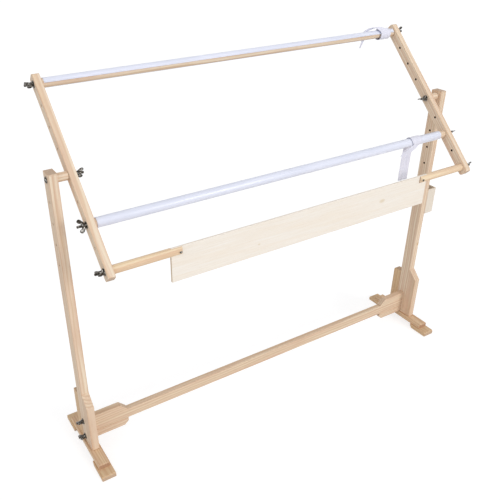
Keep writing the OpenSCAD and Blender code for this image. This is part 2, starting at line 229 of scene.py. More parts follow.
# Trees of nodes


class NodeTree:
    """A tree of nodes while it is put together."""

    def __init__(self, tree: bpy.types.NodeTree) -> None:
        """Start with a tree of Blender's."""
        self.tree = tree

    def link(self, source: object, target: Socket) -> None:
        """Link a socket, or a plain value, to an input.

        Args:
            source: The socket or the value.
            target: The input.
        """
        if isinstance(source, Socket):
            self.tree.links.new(source, target)
        else:
            target.default_value = source

    def add(self, kind: str, links: dict[object, object] | None = None,
            **settings: object) -> bpy.types.Node:
        """Add a node.

        Args:
            kind: The node's full type.
            links: What goes into its inputs, by name or number: sockets or plain values.
            settings: Its properties by name.

        Returns:
            The new node.
        """
        node = self.tree.nodes.new(kind)
        for key, value in settings.items():
            setattr(node, key, value)
        for key, source in (links or {}).items():
            self.link(source, node.inputs[key])
        return node

    def math(self, operation: str, *values: object) -> Socket:
        """Add a Math node.

        Args:
            operation: What it does.
            values: Its inputs, sockets or numbers.

        Returns:
            The node's result.
        """
        node = self.add("ShaderNodeMath", dict(enumerate(values)), operation=operation)
        return node.outputs[0]

    def vector(self, operation: str, *values: object) -> Socket:
        """Add a Vector Math node.

        Args:
            operation: What it does.
            values: Its inputs, sockets or vectors.

        Returns:
            The node's result, a number for a length or a dot product.
        """
        node = self.add("ShaderNodeVectorMath", dict(enumerate(values)), operation=operation)
        return node.outputs["Value" if operation in ("LENGTH", "DOT_PRODUCT") else "Vector"]

    def split(self, point: Socket) -> tuple[Socket, ...]:
        """Split a vector into its three numbers."""
        return tuple(self.add("ShaderNodeSeparateXYZ", {0: point}).outputs)

    def seen(self) -> Socket:
        """Tell rays that show the backdrop: seen, mirrored or passed by the camera.

        Returns:
            1 for such rays and 0 for others.
        """
        path = self.add("ShaderNodeLightPath").outputs
        both = self.math("MAXIMUM", path["Is Camera Ray"], path["Is Glossy Ray"])
        return self.math("MAXIMUM", both, path["Is Transmission Ray"])


class Shader(NodeTree):
    """A material's nodes while they are put together."""

    def __init__(self, name: str) -> None:
        """Start a material with one surface.

        Args:
            name: The material's name.
        """
        self.material = bpy.data.materials.new(name)
        self.material.use_nodes = True
        super().__init__(self.material.node_tree)
        self.surface = self.tree.nodes["Principled BSDF"]

    def millimetres(self) -> Socket:
        """Give the place on the piece, in millimetres."""
        place = self.add("ShaderNodeTexCoord").outputs["Object"]
        return self.vector("MULTIPLY", place, (1 / MM, 1 / MM, 1 / MM))

    def noise(self, point: Socket, scale: Triple, shift: float = 0.0, detail: float = 2.0,
              roughness: float = 0.5) -> Socket:
        """Add a noise, which is long along the grain where its first scale is small.

        Args:
            point: Where it is read, in millimetres.
            scale: Its scale on each axis.
            shift: How far it is moved, so that boards differ.
            detail: Its octaves.
            roughness: How strong the finer octaves are.

        Returns:
            The noise, from 0 to 1.
        """
        scaled = self.vector("MULTIPLY", point, scale)
        moved = self.vector("ADD", scaled, (shift, shift * 0.37, -shift * 0.71))
        return self.add("ShaderNodeTexNoise", {"Vector": moved, "Scale": 1.0, "Detail": detail,
                                               "Roughness": roughness}).outputs["Fac"]

    def ramp(self, value: Socket, *stops: tuple[float, float]) -> Socket:
        """Turn a value into a grey level through a few stops.

        Args:
            value: What is read.
            stops: Positions and levels.

        Returns:
            The level.
        """
        node = self.add("ShaderNodeValToRGB", {"Fac": value})
        elements = node.color_ramp.elements
        while len(elements) < len(stops):
            elements.new(0.5)
        for element, (position, level) in zip(elements, stops):
            element.position = position
            element.color = (level, level, level, 1)
        return node.outputs["Color"]

    def mix(self, share: object, first: object, second: object) -> Socket:
        """Mix two colours.

        Args:
            share: How much of the second shows.
            first: The first colour.
            second: The second colour.

        Returns:
            The mixed colour.
        """
        return self.add("ShaderNodeMix", {"Factor": share, 6: first, 7: second},
                        data_type="RGBA").outputs[2]

    def bump(self, height: Socket, depth: float, strength: float) -> None:
        """Give the surface a bump.

        Args:
            height: The height, 0 to 1.
            depth: How deep 1 is, in millimetres.
            strength: How much of it shows.
        """
        node = self.add("ShaderNodeBump",
                        {"Distance": depth * MM, "Strength": strength, "Height": height})
        self.link(node.outputs["Normal"], self.surface.inputs["Normal"])

    def finished(self, inputs: dict[str, object]) -> Material:
        """Set the surface's own inputs.

        Args:
            inputs: Sockets or plain values, by the names of the inputs.

        Returns:
            The material.
        """
        for name, source in inputs.items():
            self.link(source, self.surface.inputs[name])
        return self.material


@dataclass(frozen=True)
class Knot:
    """A knot: its centre from the board's middle, along the grain first, and its radius, in mm."""

    place: Triple
    radius: float


class BoardShader(Shader):
    """The nodes of a board's finish, which follow the board's own axes."""

    def __init__(self, name: str, node: str, grain: Grain) -> None:
        """Start the finish of one board.

        Args:
            name: The material's name.
            node: The node that the board is.
            grain: The way that its grain runs.
        """
        super().__init__(name)
        self.turn = grain_turn(grain)
        place, self.half = local_box(node, self.turn)
        coordinates = self.add("ShaderNodeTexCoord").outputs
        self.normal = coordinates["Normal"]
        self.point = self.add(
            "ShaderNodeMapping", {"Vector": coordinates["Object"], "Location": place,
                                  "Rotation": self.turn.to_euler(), "Scale": (MM, MM, MM)},
            vector_type="TEXTURE").outputs["Vector"]

    def sawn_ends(self, level: float) -> Socket:
        """Give a level on the sawn ends, and 0 on the long faces."""
        facing = self.vector("DOT_PRODUCT", self.normal, tuple(self.turn.col[0]))
        return self.ramp(self.math("ABSOLUTE", facing), (0.62, 0.0), (0.9, level))

    def off_knot(self, knot: Knot, weights: Triple) -> Socket:
        """Measure how far the surface is from a knot, in the knot's radii.

        Args:
            knot: The knot.
            weights: How much the distance along each axis counts.

        Returns:
            The distance.
        """
        away = self.vector("SUBTRACT", self.point, knot.place)
        scaled = self.vector("MULTIPLY", away, tuple(w / knot.radius for w in weights))
        return self.vector("LENGTH", scaled)


# Finishes


@dataclass(frozen=True)
class Pine:
    """Sanded bare pine with its rings, fibres and resin lines.

    Lengths are in millimetres, and each scale is that of a noise along, across and through the
    board.
    """

    early: Colour = srgb(244, 229, 208)
    late: Colour = srgb(206, 170, 132)
    blush: Colour = srgb(217, 181, 156)
    end: Colour = srgb(186, 160, 138)
    resin: Colour = srgb(176, 124, 78)
    handled: Colour = srgb(206, 158, 112)
    knot_pale: Colour = srgb(222, 190, 138)
    knot_dark: Colour = srgb(178, 132, 84)
    # A near-black colour painted on hole walls as shade.
    hole: Colour = srgb(58, 42, 32)
    wave_scale: Triple = (0.004, 0.03, 0.03)
    fibre_scale: Triple = (0.014, 1.3, 1.3)
    streak_scale: Triple = (0.005, 0.16, 0.16)
    resin_scale: Triple = (0.05, 1.7, 1.7)
    grit_scale: Triple = (0.5, 0.9, 0.9)
    ring_gap: float = 6.4
    ring_share: float = 0.75
    ring_wave: float = 11.0
    pith: float = 46.0
    fibre_share: float = 0.22
    resin_share: float = 0.3
    end_share: float = 0.6
    wear_depth: float = 1.6
    wear_most: float = 0.4
    hole_reach: float = 4.0
    grain_depth: float = 0.22
    # The axis of the holes whose walls get painted shade, or None for no painted shade.
    bore: int | None = None

    def material(self, node: str, grain: Grain, seed: int,
                 knots: tuple[Knot, ...] = ()) -> Material:
        """Make the finish for one board.

        Args:
            node: The node that the board is.
            grain: The way that its grain runs.
            seed: What sets it apart from the other boards.
            knots: Its knots.

        Returns:
            The material.
        """
        board = BoardShader("pine_" + node, node, grain)
        shift = 17.0 + 13.7 * seed
        rings, mask = self.rings(board, shift, 2.4 * seed, knots)
        fibre = board.noise(board.point, self.fibre_scale, shift, 4.0, 0.62)
        streak = board.noise(board.point, self.streak_scale, -shift, 3.0, 0.55)
        resin = board.noise(board.point, self.resin_scale, 2 * shift, 1.0)
        fine = board.ramp(fibre, (0.3, 0.0), (0.7, 1.0))
        lines = board.ramp(resin, (0.66, 0.0), (0.74, 1.0))
        colour = board.mix(board.math("MULTIPLY", rings, self.ring_share), self.early, self.late)
        colour = board.mix(board.ramp(streak, (0.4, 0.0), (0.62, 0.6)), colour, self.blush)
        colour = board.mix(board.math("MULTIPLY", fine, self.fibre_share), colour, self.late)
        colour = board.mix(board.math("MULTIPLY", lines, self.resin_share), colour, self.resin)
        if knots:
            colour = self.knotted(board, colour, mask)
        colour = self.ended(board, colour, fine)
        colour = self.worn(board, colour, streak)
        # Painted shade on the walls of the drilled holes.
        if self.bore is not None:
            colour = self.bored(board, colour)
        board.bump(board.math("MULTIPLY_ADD", rings, 0.35, fibre), self.grain_depth, 0.6)
        return board.finished({"Base Color": colour, "Specular IOR Level": 0.28,
                               "Roughness": board.math("MULTIPLY_ADD", fibre, 0.22, 0.5)})

    def rings(self, board: BoardShader, shift: float, angle: float,
              knots: tuple[Knot, ...]) -> tuple[Socket, object]:
        """Draw the year rings round a pith line that runs beside the board.

        Args:
            board: The finish under construction.
            shift: How far the noises are moved.
            angle: Which way the pith lies.
            knots: The board's knots, which the rings swell round.

        Returns:
            How dark the late wood is, and how much of a knot there is.
        """
        middle = (0.0, self.pith * math.cos(angle), self.pith * math.sin(angle))
        across = board.vector("MULTIPLY", board.vector("SUBTRACT", board.point, middle),
                              (0.0, 1.0, 1.0))
        wave = board.noise(board.point, self.wave_scale, shift)
        radius = board.math("MULTIPLY_ADD", wave, self.ring_wave, board.vector("LENGTH", across))
        mask: object = 0.0
        for knot in knots:
            far = board.off_knot(knot, (0.42, 1.0, 0.0))
            near = board.math("EXPONENT", board.math(
                "MULTIPLY", far, board.math("MULTIPLY", far, -0.35)))
            radius = board.math("MULTIPLY_ADD", near, 2.2 * knot.radius, radius)
            mask = board.math("MAXIMUM", mask, board.ramp(far, (0.55, 1.0), (0.95, 0.0)))
        year = board.math("FRACT", board.math("DIVIDE", radius, self.ring_gap))
        return board.ramp(year, (0.0, 0.25), (0.35, 0.05), (0.86, 1.0), (1.0, 0.25)), mask

    def knotted(self, board: BoardShader, colour: Socket, mask: Socket) -> Socket:
        """Darken the knots.

        Args:
            board: The finish under construction.
            colour: The wood's colour so far.
            mask: How much of a knot there is.

        Returns:
            The colour with its knots.
        """
        grit = board.noise(board.point, self.grit_scale, detail=3.0)
        heart = board.mix(grit, self.knot_pale, self.knot_dark)
        return board.mix(board.math("MULTIPLY", mask, 0.75), colour, heart)

    def ended(self, board: BoardShader, colour: Socket, fine: Socket) -> Socket:
        """Darken the sawn ends, where the wood's pores are open.

        Args:
            board: The finish under construction.
            colour: The wood's colour so far.
            fine: The fibres.

        Returns:
            The colour with darker ends.
        """
        share = board.math("MULTIPLY", board.sawn_ends(1.0),
                           board.math("MULTIPLY_ADD", fine, 0.25, self.end_share))
        return board.mix(share, colour, self.end)

    def worn(self, board: BoardShader, colour: Socket, streak: Socket) -> Socket:
        """Tone the handled edges of a board.

        Args:
            board: The finish under construction.
            colour: The wood's colour so far.
            streak: A slow noise that breaks the wear up.

        Returns:
            The colour with its edges toned.
        """
        inside = board.vector("SUBTRACT", board.vector("ABSOLUTE", board.point),
                              tuple(board.half))
        along, wide, thick = board.split(inside)
        low = board.math("MINIMUM", wide, thick)
        high = board.math("MAXIMUM", wide, thick)
        second = board.math("MAXIMUM", low, board.math("MINIMUM", high, along))
        edge = board.math("MULTIPLY_ADD", second, 1 / self.wear_depth, 1.0)
        edge = board.math("MULTIPLY", board.math("MAXIMUM", edge, 0.0), streak)
        share = board.math("MINIMUM", board.math("MULTIPLY", edge, 0.7), self.wear_most)
        return board.mix(share, colour, self.handled)

    def bored(self, board: BoardShader, colour: Socket) -> Socket:
        """Paint shade on the walls of the holes that are drilled along X on the board's middle line: a painted
        shadow inside the holes.

        Args:
            board: The finish under construction.
            colour: The wood's colour so far.

        Returns:
            The colour with its dark holes.
        """
        def near(value: Socket, reach: float) -> Socket:
            """Tell where a value is within a reach of 0."""
            return board.math("LESS_THAN", board.math("ABSOLUTE", value), reach)

        spot = board.split(board.point)
        wall = near(board.split(board.normal)[0], 0.9)
        middle = near(spot[self.bore], self.hole_reach)
        inner = near(spot[0], board.half[0] - self.hole_reach)
        share = board.math("MULTIPLY", wall, board.math("MULTIPLY", middle, inner))
        return board.mix(share, colour, self.hole)


@dataclass(frozen=True)
class PaleBoard:
    """Smooth pale board: a fine birch face with faint lines and a knot or two.

    Lengths are in millimetres, and each scale is that of a noise along, across and through the
    board.
    """

    light: Colour = srgb(248, 242, 234)
    shade: Colour = srgb(239, 227, 211)
    cloud: Colour = srgb(243, 228, 208)
    pore: Colour = srgb(190, 160, 124)
    knot: Colour = srgb(214, 190, 146)
    edge: Colour = srgb(214, 190, 158)
    cloud_scale: Triple = (0.006, 0.05, 0.05)
    line_scale: Triple = (0.01, 0.55, 0.55)
    pore_scale: Triple = (0.12, 2.6, 2.6)
    grain_depth: float = 0.12

    def material(self, node: str, grain: Grain, seed: int,
                 knots: tuple[Knot, ...] = ()) -> Material:
        """Make the finish for one board.

        Args:
            node: The node that the board is.
            grain: The way that its grain runs.
            seed: What sets it apart from the other boards.
            knots: Its knots.

        Returns:
            The material.
        """
        board = BoardShader("pale_" + node, node, grain)
        shift = 5.0 + 9.1 * seed
        cloud = board.noise(board.point, self.cloud_scale, shift, 3.0)
        line = board.noise(board.point, self.line_scale, -shift, 4.0, 0.6)
        pore = board.ramp(board.noise(board.point, self.pore_scale, 3 * shift, 1.0),
                          (0.62, 0.0), (0.72, 1.0))
        colour = board.mix(board.ramp(line, (0.3, 0.0), (0.75, 0.8)), self.light, self.shade)
        colour = board.mix(board.ramp(cloud, (0.4, 0.0), (0.75, 0.4)), colour, self.cloud)
        colour = board.mix(board.math("MULTIPLY", pore, 0.16), colour, self.pore)
        for knot in knots:
            far = board.math("MULTIPLY_ADD", cloud, 0.5, board.off_knot(knot, (0.55, 0.0, 1.0)))
            share = board.ramp(far, (0.45, 0.5), (0.75, 0.3), (1.15, 0.0))
            colour = board.mix(share, colour, self.knot)
        colour = board.mix(board.sawn_ends(0.8), colour, self.edge)
        board.bump(board.math("MULTIPLY_ADD", pore, -0.6, line), self.grain_depth, 0.5)
        return board.finished({"Base Color": colour, "Specular IOR Level": 0.3,
                               "Roughness": board.math("MULTIPLY_ADD", line, 0.2, 0.42)})


@dataclass(frozen=True)
class ClipPlastic:
    """Smooth bluish white plastic with faint drawn lines along its length."""

    colour: Colour = srgb(233, 236, 251)
    shade: Colour = srgb(223, 227, 243)
    drawn_scale: Triple = (0.004, 2.2, 2.2)
    cloud_scale: Triple = (0.01, 0.08, 0.08)
    line_depth: float = 0.06
    glow_reach: float = 2.0

    def material(self) -> Material:
        """Make the finish.

        Returns:
            The material.
        """
        shader = Shader("clip_plastic")
        point = shader.millimetres()
        drawn = shader.noise(point, self.drawn_scale, 3.0)
        cloud = shader.noise(point, self.cloud_scale, 8.0)
        shader.bump(drawn, self.line_depth, 0.5)
        return shader.finished({
            "Base Color": shader.mix(shader.ramp(cloud, (0.3, 0.0), (0.8, 1.0)), self.colour,
                                     self.shade),
            "Roughness": shader.math("MULTIPLY_ADD", drawn, 0.16, 0.22),
            "Specular IOR Level": 0.5, "Subsurface Weight": 0.06,
            "Subsurface Radius": (self.glow_reach * MM,) * 3})


@dataclass(frozen=True)
class PlatedSteel:
    """Zinc-plated steel, rougher in patches, its colour mottled with near-black patches of painted dark
    reflection.
    """

    bright: Colour = srgb(204, 201, 195)
    # A near-black colour painted in patches as dark reflections.
    dull: Colour = srgb(64, 59, 53)
    cloud_scale: float = 0.22
    grit_scale: float = 2.4
    grit_depth: float = 0.08

    def material(self) -> Material:
        """Make the finish.

        Returns:
            The material.
        """
        shader = Shader("plated_steel")
        point = shader.millimetres()
        cloud = shader.noise(point, (self.cloud_scale,) * 3, 2.0, 3.0, 0.6)
        shader.bump(shader.noise(point, (self.grit_scale,) * 3, 6.0), self.grit_depth, 0.35)
        return shader.finished({
            # Near-black patches painted into the colour stand in for dark reflections.
            "Base Color": shader.mix(shader.ramp(cloud, (0.34, 0.0), (0.5, 1.0)), self.bright,
                                     self.dull),
            "Metallic": 0.92, "Roughness": shader.math("MULTIPLY_ADD", cloud, 0.26, 0.16)})


@dataclass(frozen=True)
class CottonTape:
    """White herringbone cotton tape; the weave follows the piece's own UV map, in millimetres."""

    colour: Colour = srgb(240, 240, 252)
    shadow: Colour = srgb(214, 214, 234)
    yarn: float = 0.62
    column: float = 5.5
    fuzz_scale: float = 1.4
    weave_depth: float = 0.25

    def material(self) -> Material:
        """Make the finish.

        Returns:
            The material.
        """
        shader = Shader("cotton_tape")
        place = shader.add("ShaderNodeUVMap", uv_map="cloth").outputs[0]
        across, along, _ = shader.split(place)
        slope = shader.math("ADD", along, shader.math("PINGPONG", across, self.column))
        twill = shader.math("PINGPONG", shader.math("DIVIDE", slope, self.yarn), 1.0)
        warp = shader.math("PINGPONG", shader.math("DIVIDE", across, self.yarn * 0.5), 1.0)
        fuzz = shader.noise(place, (self.fuzz_scale,) * 3, detail=3.0)
        height = shader.math("MULTIPLY_ADD", warp, 0.4, shader.math("MULTIPLY", twill, 0.6))
        height = shader.math("MULTIPLY_ADD", fuzz, 0.35, height)
        shade = shader.ramp(height, (0.2, 0.75), (0.8, 0.0))
        shader.bump(height, self.weave_depth, 0.8)
        return shader.finished({
            "Base Color": shader.mix(shade, self.colour, self.shadow), "Roughness": 0.88,
            "Specular IOR Level": 0.2, "Sheen Weight": 0.25, "Sheen Roughness": 0.45})


@dataclass(frozen=True)
class Finishes:
    """The finishes that more than one piece shares."""

    clip: Material
    steel: Material
    tape: Material


# Pieces and meshes


def placed(name: str, data: bpy.types.ID) -> Piece:
    """Put a mesh, a lamp or a camera into the scene.

    Args:
        name: The object's name.
        data: What it shows.

    Returns:
        The new object.
    """
    thing = bpy.data.objects.new(name, data)
    bpy.context.scene.collection.objects.link(thing)
    return thing


def own_piece(name: str, mesh: Mesh, body: str, slot: str, material: Material,
              *nodes: str) -> Piece:
    """Put a mesh into the scene as a piece of its own.

    Args:
        name: The piece's name.
        mesh: Its mesh, in metres, where it belongs.
        body: The body that it rides on.
        slot: Not used; it names the record's slot for the finish.
        material: Its finish.
        nodes: The nodes that it stands for.

    Returns:
        The new object.
    """
    mesh.name = name
    mesh.materials.clear()
    mesh.materials.append(material)
    piece = placed(name, mesh)
    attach(piece, body)
    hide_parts(*nodes)
    LOG.info("made %s, %d faces", name, len(mesh.polygons))
    return piece


def dress(node: str, material: Material, round_edge: float) -> None:
    """Give a node its finish and ease its sharp edges.

    Args:
        node: The node's name.
        material: Its finish.
        round_edge: The radius of the eased edges, in millimetres.
    """
    piece = frame["nodes"][node]
    piece.data.materials.clear()
    piece.data.materials.append(material)
    weld = piece.modifiers.new("merged", "WELD")
    weld.merge_threshold = SAME_POINT
    flat = piece.modifiers.new("flat", "DECIMATE")
    flat.decimate_type = "DISSOLVE"
    flat.angle_limit = FLAT_ANGLE
    bevel = piece.modifiers.new("eased", "BEVEL")
    bevel.width = round_edge * MM
    bevel.segments = 2
    bevel.limit_method = "ANGLE"
    bevel.angle_limit = CREASE_ANGLE
    bevel.use_clamp_overlap = True
    bevel.harden_normals = False
    LOG.info("dressed %s", node)


def smooth_by_angle(mesh: Mesh, degrees: float) -> None:
    """Shade a mesh smooth but for edges sharper than an angle."""
    mesh.shade_smooth()
    mesh.set_sharp_from_angle(angle=math.radians(degrees))


def outcome(carrier: Piece) -> Mesh:
    """Keep what a carrier's modifiers make of its mesh, and remove the carrier.

    Args:
        carrier: The object with its modifiers.

    Returns:
        The new mesh.
    """
    depsgraph = bpy.context.evaluated_depsgraph_get()
    result = bpy.data.meshes.new_from_object(carrier.evaluated_get(depsgraph))
    carrier.modifiers.clear()
    bpy.data.objects.remove(carrier)
    return result


def shaped(mesh: Mesh, name: str, *steps: tuple[str, dict[str, object]]) -> Mesh:
    """Apply modifiers to a mesh.

    Args:
        mesh: The mesh that goes in.
        name: The name of the result.
        steps: Each modifier's type and settings.

    Returns:
        The new mesh.
    """
    carrier = placed(name + "_carrier", mesh)
    for kind, settings in steps:
        modifier = carrier.modifiers.new(kind.lower(), kind)
        for key, value in settings.items():
            setattr(modifier, key, value)
    return outcome(carrier)


def closed_mesh(made: bmesh.types.BMesh, name: str) -> Mesh:
    """Make a closed shape a plain mesh, its faces outwards.

    Args:
        made: The shape, which is freed.
        name: The mesh's name.

    Returns:
        The mesh.
    """
    bmesh.ops.recalc_face_normals(made, faces=made.faces)
    mesh = bpy.data.meshes.new(name)
    made.to_mesh(mesh)
    made.free()
    return mesh


def tube(made: bmesh.types.BMesh, *loops: list[bmesh.types.BMVert]) -> None:
    """Close a shape over loops of points.

    Args:
        made: The shape under construction.
        loops: The loops from one end to the other, of as many points each.
    """
    for low, high in zip(loops, loops[1:]):
        for step, corner in enumerate(low):
            after = (step + 1) % len(low)
            made.faces.new((corner, low[after], high[after], high[step]))
    made.faces.new(reversed(loops[0]))
    made.faces.new(loops[-1])


def turned_mesh(name: str, rings: tuple[tuple[float, float], ...], around: int = 48,
                hexagon: tuple[int, ...] = ()) -> Mesh:
    """Turn a profile round the Z axis, closed at both ends.

    Args:
        name: The mesh's name.
        rings: Radius and height of each ring, in millimetres, from the bottom up.
        around: Points of a ring.
        hexagon: The numbers of the rings that are hexagons, radius to the flats.

    Returns:
        The mesh, in metres.
    """
    turned = bmesh.new()
    loops = []
    for number, (radius, height) in enumerate(rings):
        loop = []
        for step in range(around):
            angle = FULL_TURN * step / around
            reach = radius
            if number in hexagon:
                reach = radius / math.cos((angle % (HALF_TURN / 3)) - HALF_TURN / 6)
            loop.append(turned.verts.new((reach * math.cos(angle) * MM,
                                          reach * math.sin(angle) * MM, height * MM)))
        loops.append(loop)
    tube(turned, *loops)
    return closed_mesh(turned, name)


def joined(name: str, *meshes: Mesh) -> Mesh:
    """Put meshes together as one.

    Args:
        name: The new mesh's name.
        meshes: What goes into it.

    Returns:
        The new mesh.
    """
    whole = bmesh.new()
    for mesh in meshes:
        whole.from_mesh(mesh)
    result = bpy.data.meshes.new(name)
    whole.to_mesh(result)
    whole.free()
    return result


# Fixings


class GeometryTree(NodeTree):
    """A Geometry Nodes tree while it is put together."""

    def __init__(self, name: str) -> None:
        """Start a tree that takes in and gives back a geometry.

        Args:
            name: The tree's name.
        """
        super().__init__(bpy.data.node_groups.new(name, "GeometryNodeTree"))
        for way in ("INPUT", "OUTPUT"):
            self.tree.interface.new_socket("Geometry", in_out=way,
                                           socket_type="NodeSocketGeometry")
        self.inlet = self.tree.nodes.new("NodeGroupInput")
        self.outlet = self.tree.nodes.new("NodeGroupOutput")

    def named(self, name: str, kind: str = "Float") -> Socket:
        """Add a named input.

        Args:
            name: The input's name.
            kind: Its socket type, without the words NodeSocket.

        Returns:
            The socket that gives the input inside the tree.
        """
        self.tree.interface.new_socket(name, in_out="INPUT", socket_type="NodeSocket" + kind)
        return self.inlet.outputs[name]

    def choose(self, test: Socket, when_not: object, when_so: object) -> Socket:
        """Choose between two numbers.

        Args:
            test: 0 or 1.
            when_not: The result at 0.
            when_so: The result at 1.

        Returns:
            The number chosen.
        """
        return self.add("GeometryNodeSwitch", {0: test, 1: when_not, 2: when_so},
                        input_type="FLOAT").outputs[0]

    def run(self, start: Mesh, inputs: dict[str, object], name: str) -> Mesh:
        """Run the tree on a mesh and keep the result as a plain mesh.

        Args:
            start: The mesh that goes in.
            inputs: Values of the named inputs.
            name: The name of the result.

        Returns:
            The new mesh.
        """
        carrier = placed(name + "_carrier", start)
        modifier = carrier.modifiers.new("shape", "NODES")
        modifier.node_group = self.tree
        places = {item.name: item.identifier for item in self.tree.interface.items_tree
                  if item.item_type == "SOCKET" and item.in_out == "INPUT"}
        for key, value in inputs.items():
            modifier[places[key]] = value
        return outcome(carrier)


@dataclass
class ThreadedRods:
    """Threaded steel rods, each cut by a helix from its free end. Sizes are in millimetres."""

    radius: float = 3.0
    pitch: float = 1.0
    depth: float = 0.55
    tip: float = 1.0
    around: int = 18
    steps: int = 5
    plain_rows: float = 4.0
    root_flat: float = 1.25
    sharp: float = 50.0

    def tree(self) -> GeometryTree:
        """Build the tree that sets a threaded rod on each point, along its aim.

        The rows of a grid become the rod's rings. The first and the last are points that close
        its ends, and the last two lie at the far end of its plain shank.

        Returns:
            The tree.
        """
        tree = GeometryTree("threaded_rods")
        thread, length, radius, pitch, depth, tip = (tree.named(name) for name in (
            "Threaded length", "Length", "Radius", "Pitch", "Depth", "Tip"))
        material = tree.named("Material", "Material")
        step = tree.math("DIVIDE", pitch, float(self.steps))
        rows = tree.math("ADD", tree.math("ROUND", tree.math("DIVIDE", thread, step)),
                         self.plain_rows)
        last = tree.math("SUBTRACT", rows, 1.0)
        grid = tree.add("GeometryNodeMeshGrid",
                        {"Size X": 1.0, "Size Y": last, "Vertices X": self.around + 1,
                         "Vertices Y": rows})
        turn, middle_row, _ = tree.split(tree.add("GeometryNodeInputPosition").outputs[0])
        row = tree.math("ADD", middle_row, tree.math("MULTIPLY", last, 0.5))
        shank = tree.math("GREATER_THAN", row, tree.math("SUBTRACT", last, 1.5))
        start = tree.math("LESS_THAN", row, 0.5)
        end = tree.math("GREATER_THAN", row, tree.math("SUBTRACT", last, 0.5))
        along = tree.math("MULTIPLY", tree.math("MAXIMUM", tree.math("SUBTRACT", row, 1.0), 0.0),
                          step)
        height = tree.choose(shank, along, length)
        phase = tree.math("FRACT", tree.math("ADD", tree.math("DIVIDE", along, pitch), turn))
        valley = tree.math("SUBTRACT", 1.0, tree.math(
            "ABSOLUTE", tree.math("SUBTRACT", tree.math("MULTIPLY", phase, 2.0), 1.0)))
        valley = tree.math("MINIMUM", tree.math("MULTIPLY", valley, self.root_flat), 1.0)
        cut = tree.math("SUBTRACT", radius, tree.math("MULTIPLY", valley, depth))
        cone = tree.math("ADD", tree.math("SUBTRACT", radius, tip), along)
        core = tree.math("SUBTRACT", radius, depth)
        reach = tree.choose(shank, tree.math("MINIMUM", cut, cone), core)
        reach = tree.choose(tree.math("MAXIMUM", start, end), reach, 0.0)
        angle = tree.math("MULTIPLY", turn, FULL_TURN)
        place = tree.add("ShaderNodeCombineXYZ",
                         {0: tree.math("MULTIPLY", tree.math("COSINE", angle), reach),
                          1: tree.math("MULTIPLY", tree.math("SINE", angle), reach), 2: height})
        rod = tree.add("GeometryNodeSetPosition",
                       {"Geometry": grid.outputs[0], "Position": place.outputs[0]})
        closed = tree.add("GeometryNodeMergeByDistance",
                          {"Geometry": rod.outputs[0], "Distance": SAME_POINT / 2})
        aim = tree.add("GeometryNodeInputNamedAttribute", {"Name": "aim"},
                       data_type="FLOAT_VECTOR")
        turned = tree.add("FunctionNodeAlignRotationToVector", {"Vector": aim.outputs[0]},
                          axis="Z")
        stood = tree.add("GeometryNodeInstanceOnPoints",
                         {"Points": tree.inlet.outputs[0], "Instance": closed.outputs[0],
                          "Rotation": turned.outputs[0]})
        real = tree.add("GeometryNodeRealizeInstances", {0: stood.outputs[0]})
        dressed = tree.add("GeometryNodeSetMaterial",
                           {"Geometry": real.outputs[0], "Material": material})
        tree.link(dressed.outputs[0], tree.outlet.inputs[0])
        return tree

    def mesh(self, name: str, tips: list[Vector], aims: list[Vector], length: float,
             threaded: float, steel: Material) -> Mesh:
        """Make the rods of one node.

        Args:
            name: The node's name.
            tips: The free ends of the rods, in metres.
            aims: The way that each rod runs from its free end.
            length: The length of each rod, in metres.
            threaded: How much of it is threaded, in metres.
            steel: The finish.

        Returns:
            The mesh.
        """
        points = bpy.data.meshes.new(name + "_tips")
        points.from_pydata([tuple(tip) for tip in tips], [], [])
        aim = points.attributes.new("aim", "FLOAT_VECTOR", "POINT")
        aim.data.foreach_set("vector", [value for vector in aims for value in vector])
        mesh = self.tree().run(points, {
            "Threaded length": threaded, "Length": length, "Radius": self.radius * MM,
            "Pitch": self.pitch * MM, "Depth": self.depth * MM, "Tip": self.tip * MM,
            "Material": steel}, name)
        smooth_by_angle(mesh, self.sharp)
        return mesh

    def through(self, node: str, steel: Material, threaded: float) -> None:
        """Replace a node of plain studs by threaded ones.

        Args:
            node: The node's name.
            steel: The finish.
            threaded: How much of each stud is threaded, in metres.
        """
        points = corners_of(node)
        tips, aims, length = [], [], 0.0
        for sign in (-1, 1):
            half = points[points[:, 0] * sign > 0]
            for level in split_levels(half[:, 2]):
                stud = half[np.abs(half[:, 2] - level) < 2 * self.radius * MM]
                low, high = stud.min(0), stud.max(0)
                tip_x = high[0] if sign > 0 else low[0]
                tips.append(Vector((tip_x, (low[1] + high[1]) / 2, (low[2] + high[2]) / 2)))
                aims.append(Vector((-sign, 0, 0)))
                length = high[0] - low[0]
        mesh = self.mesh("threaded_" + node, tips, aims, length, threaded, steel)
        own_piece("threaded_" + node, mesh, body_with(node), "steel", steel, node)


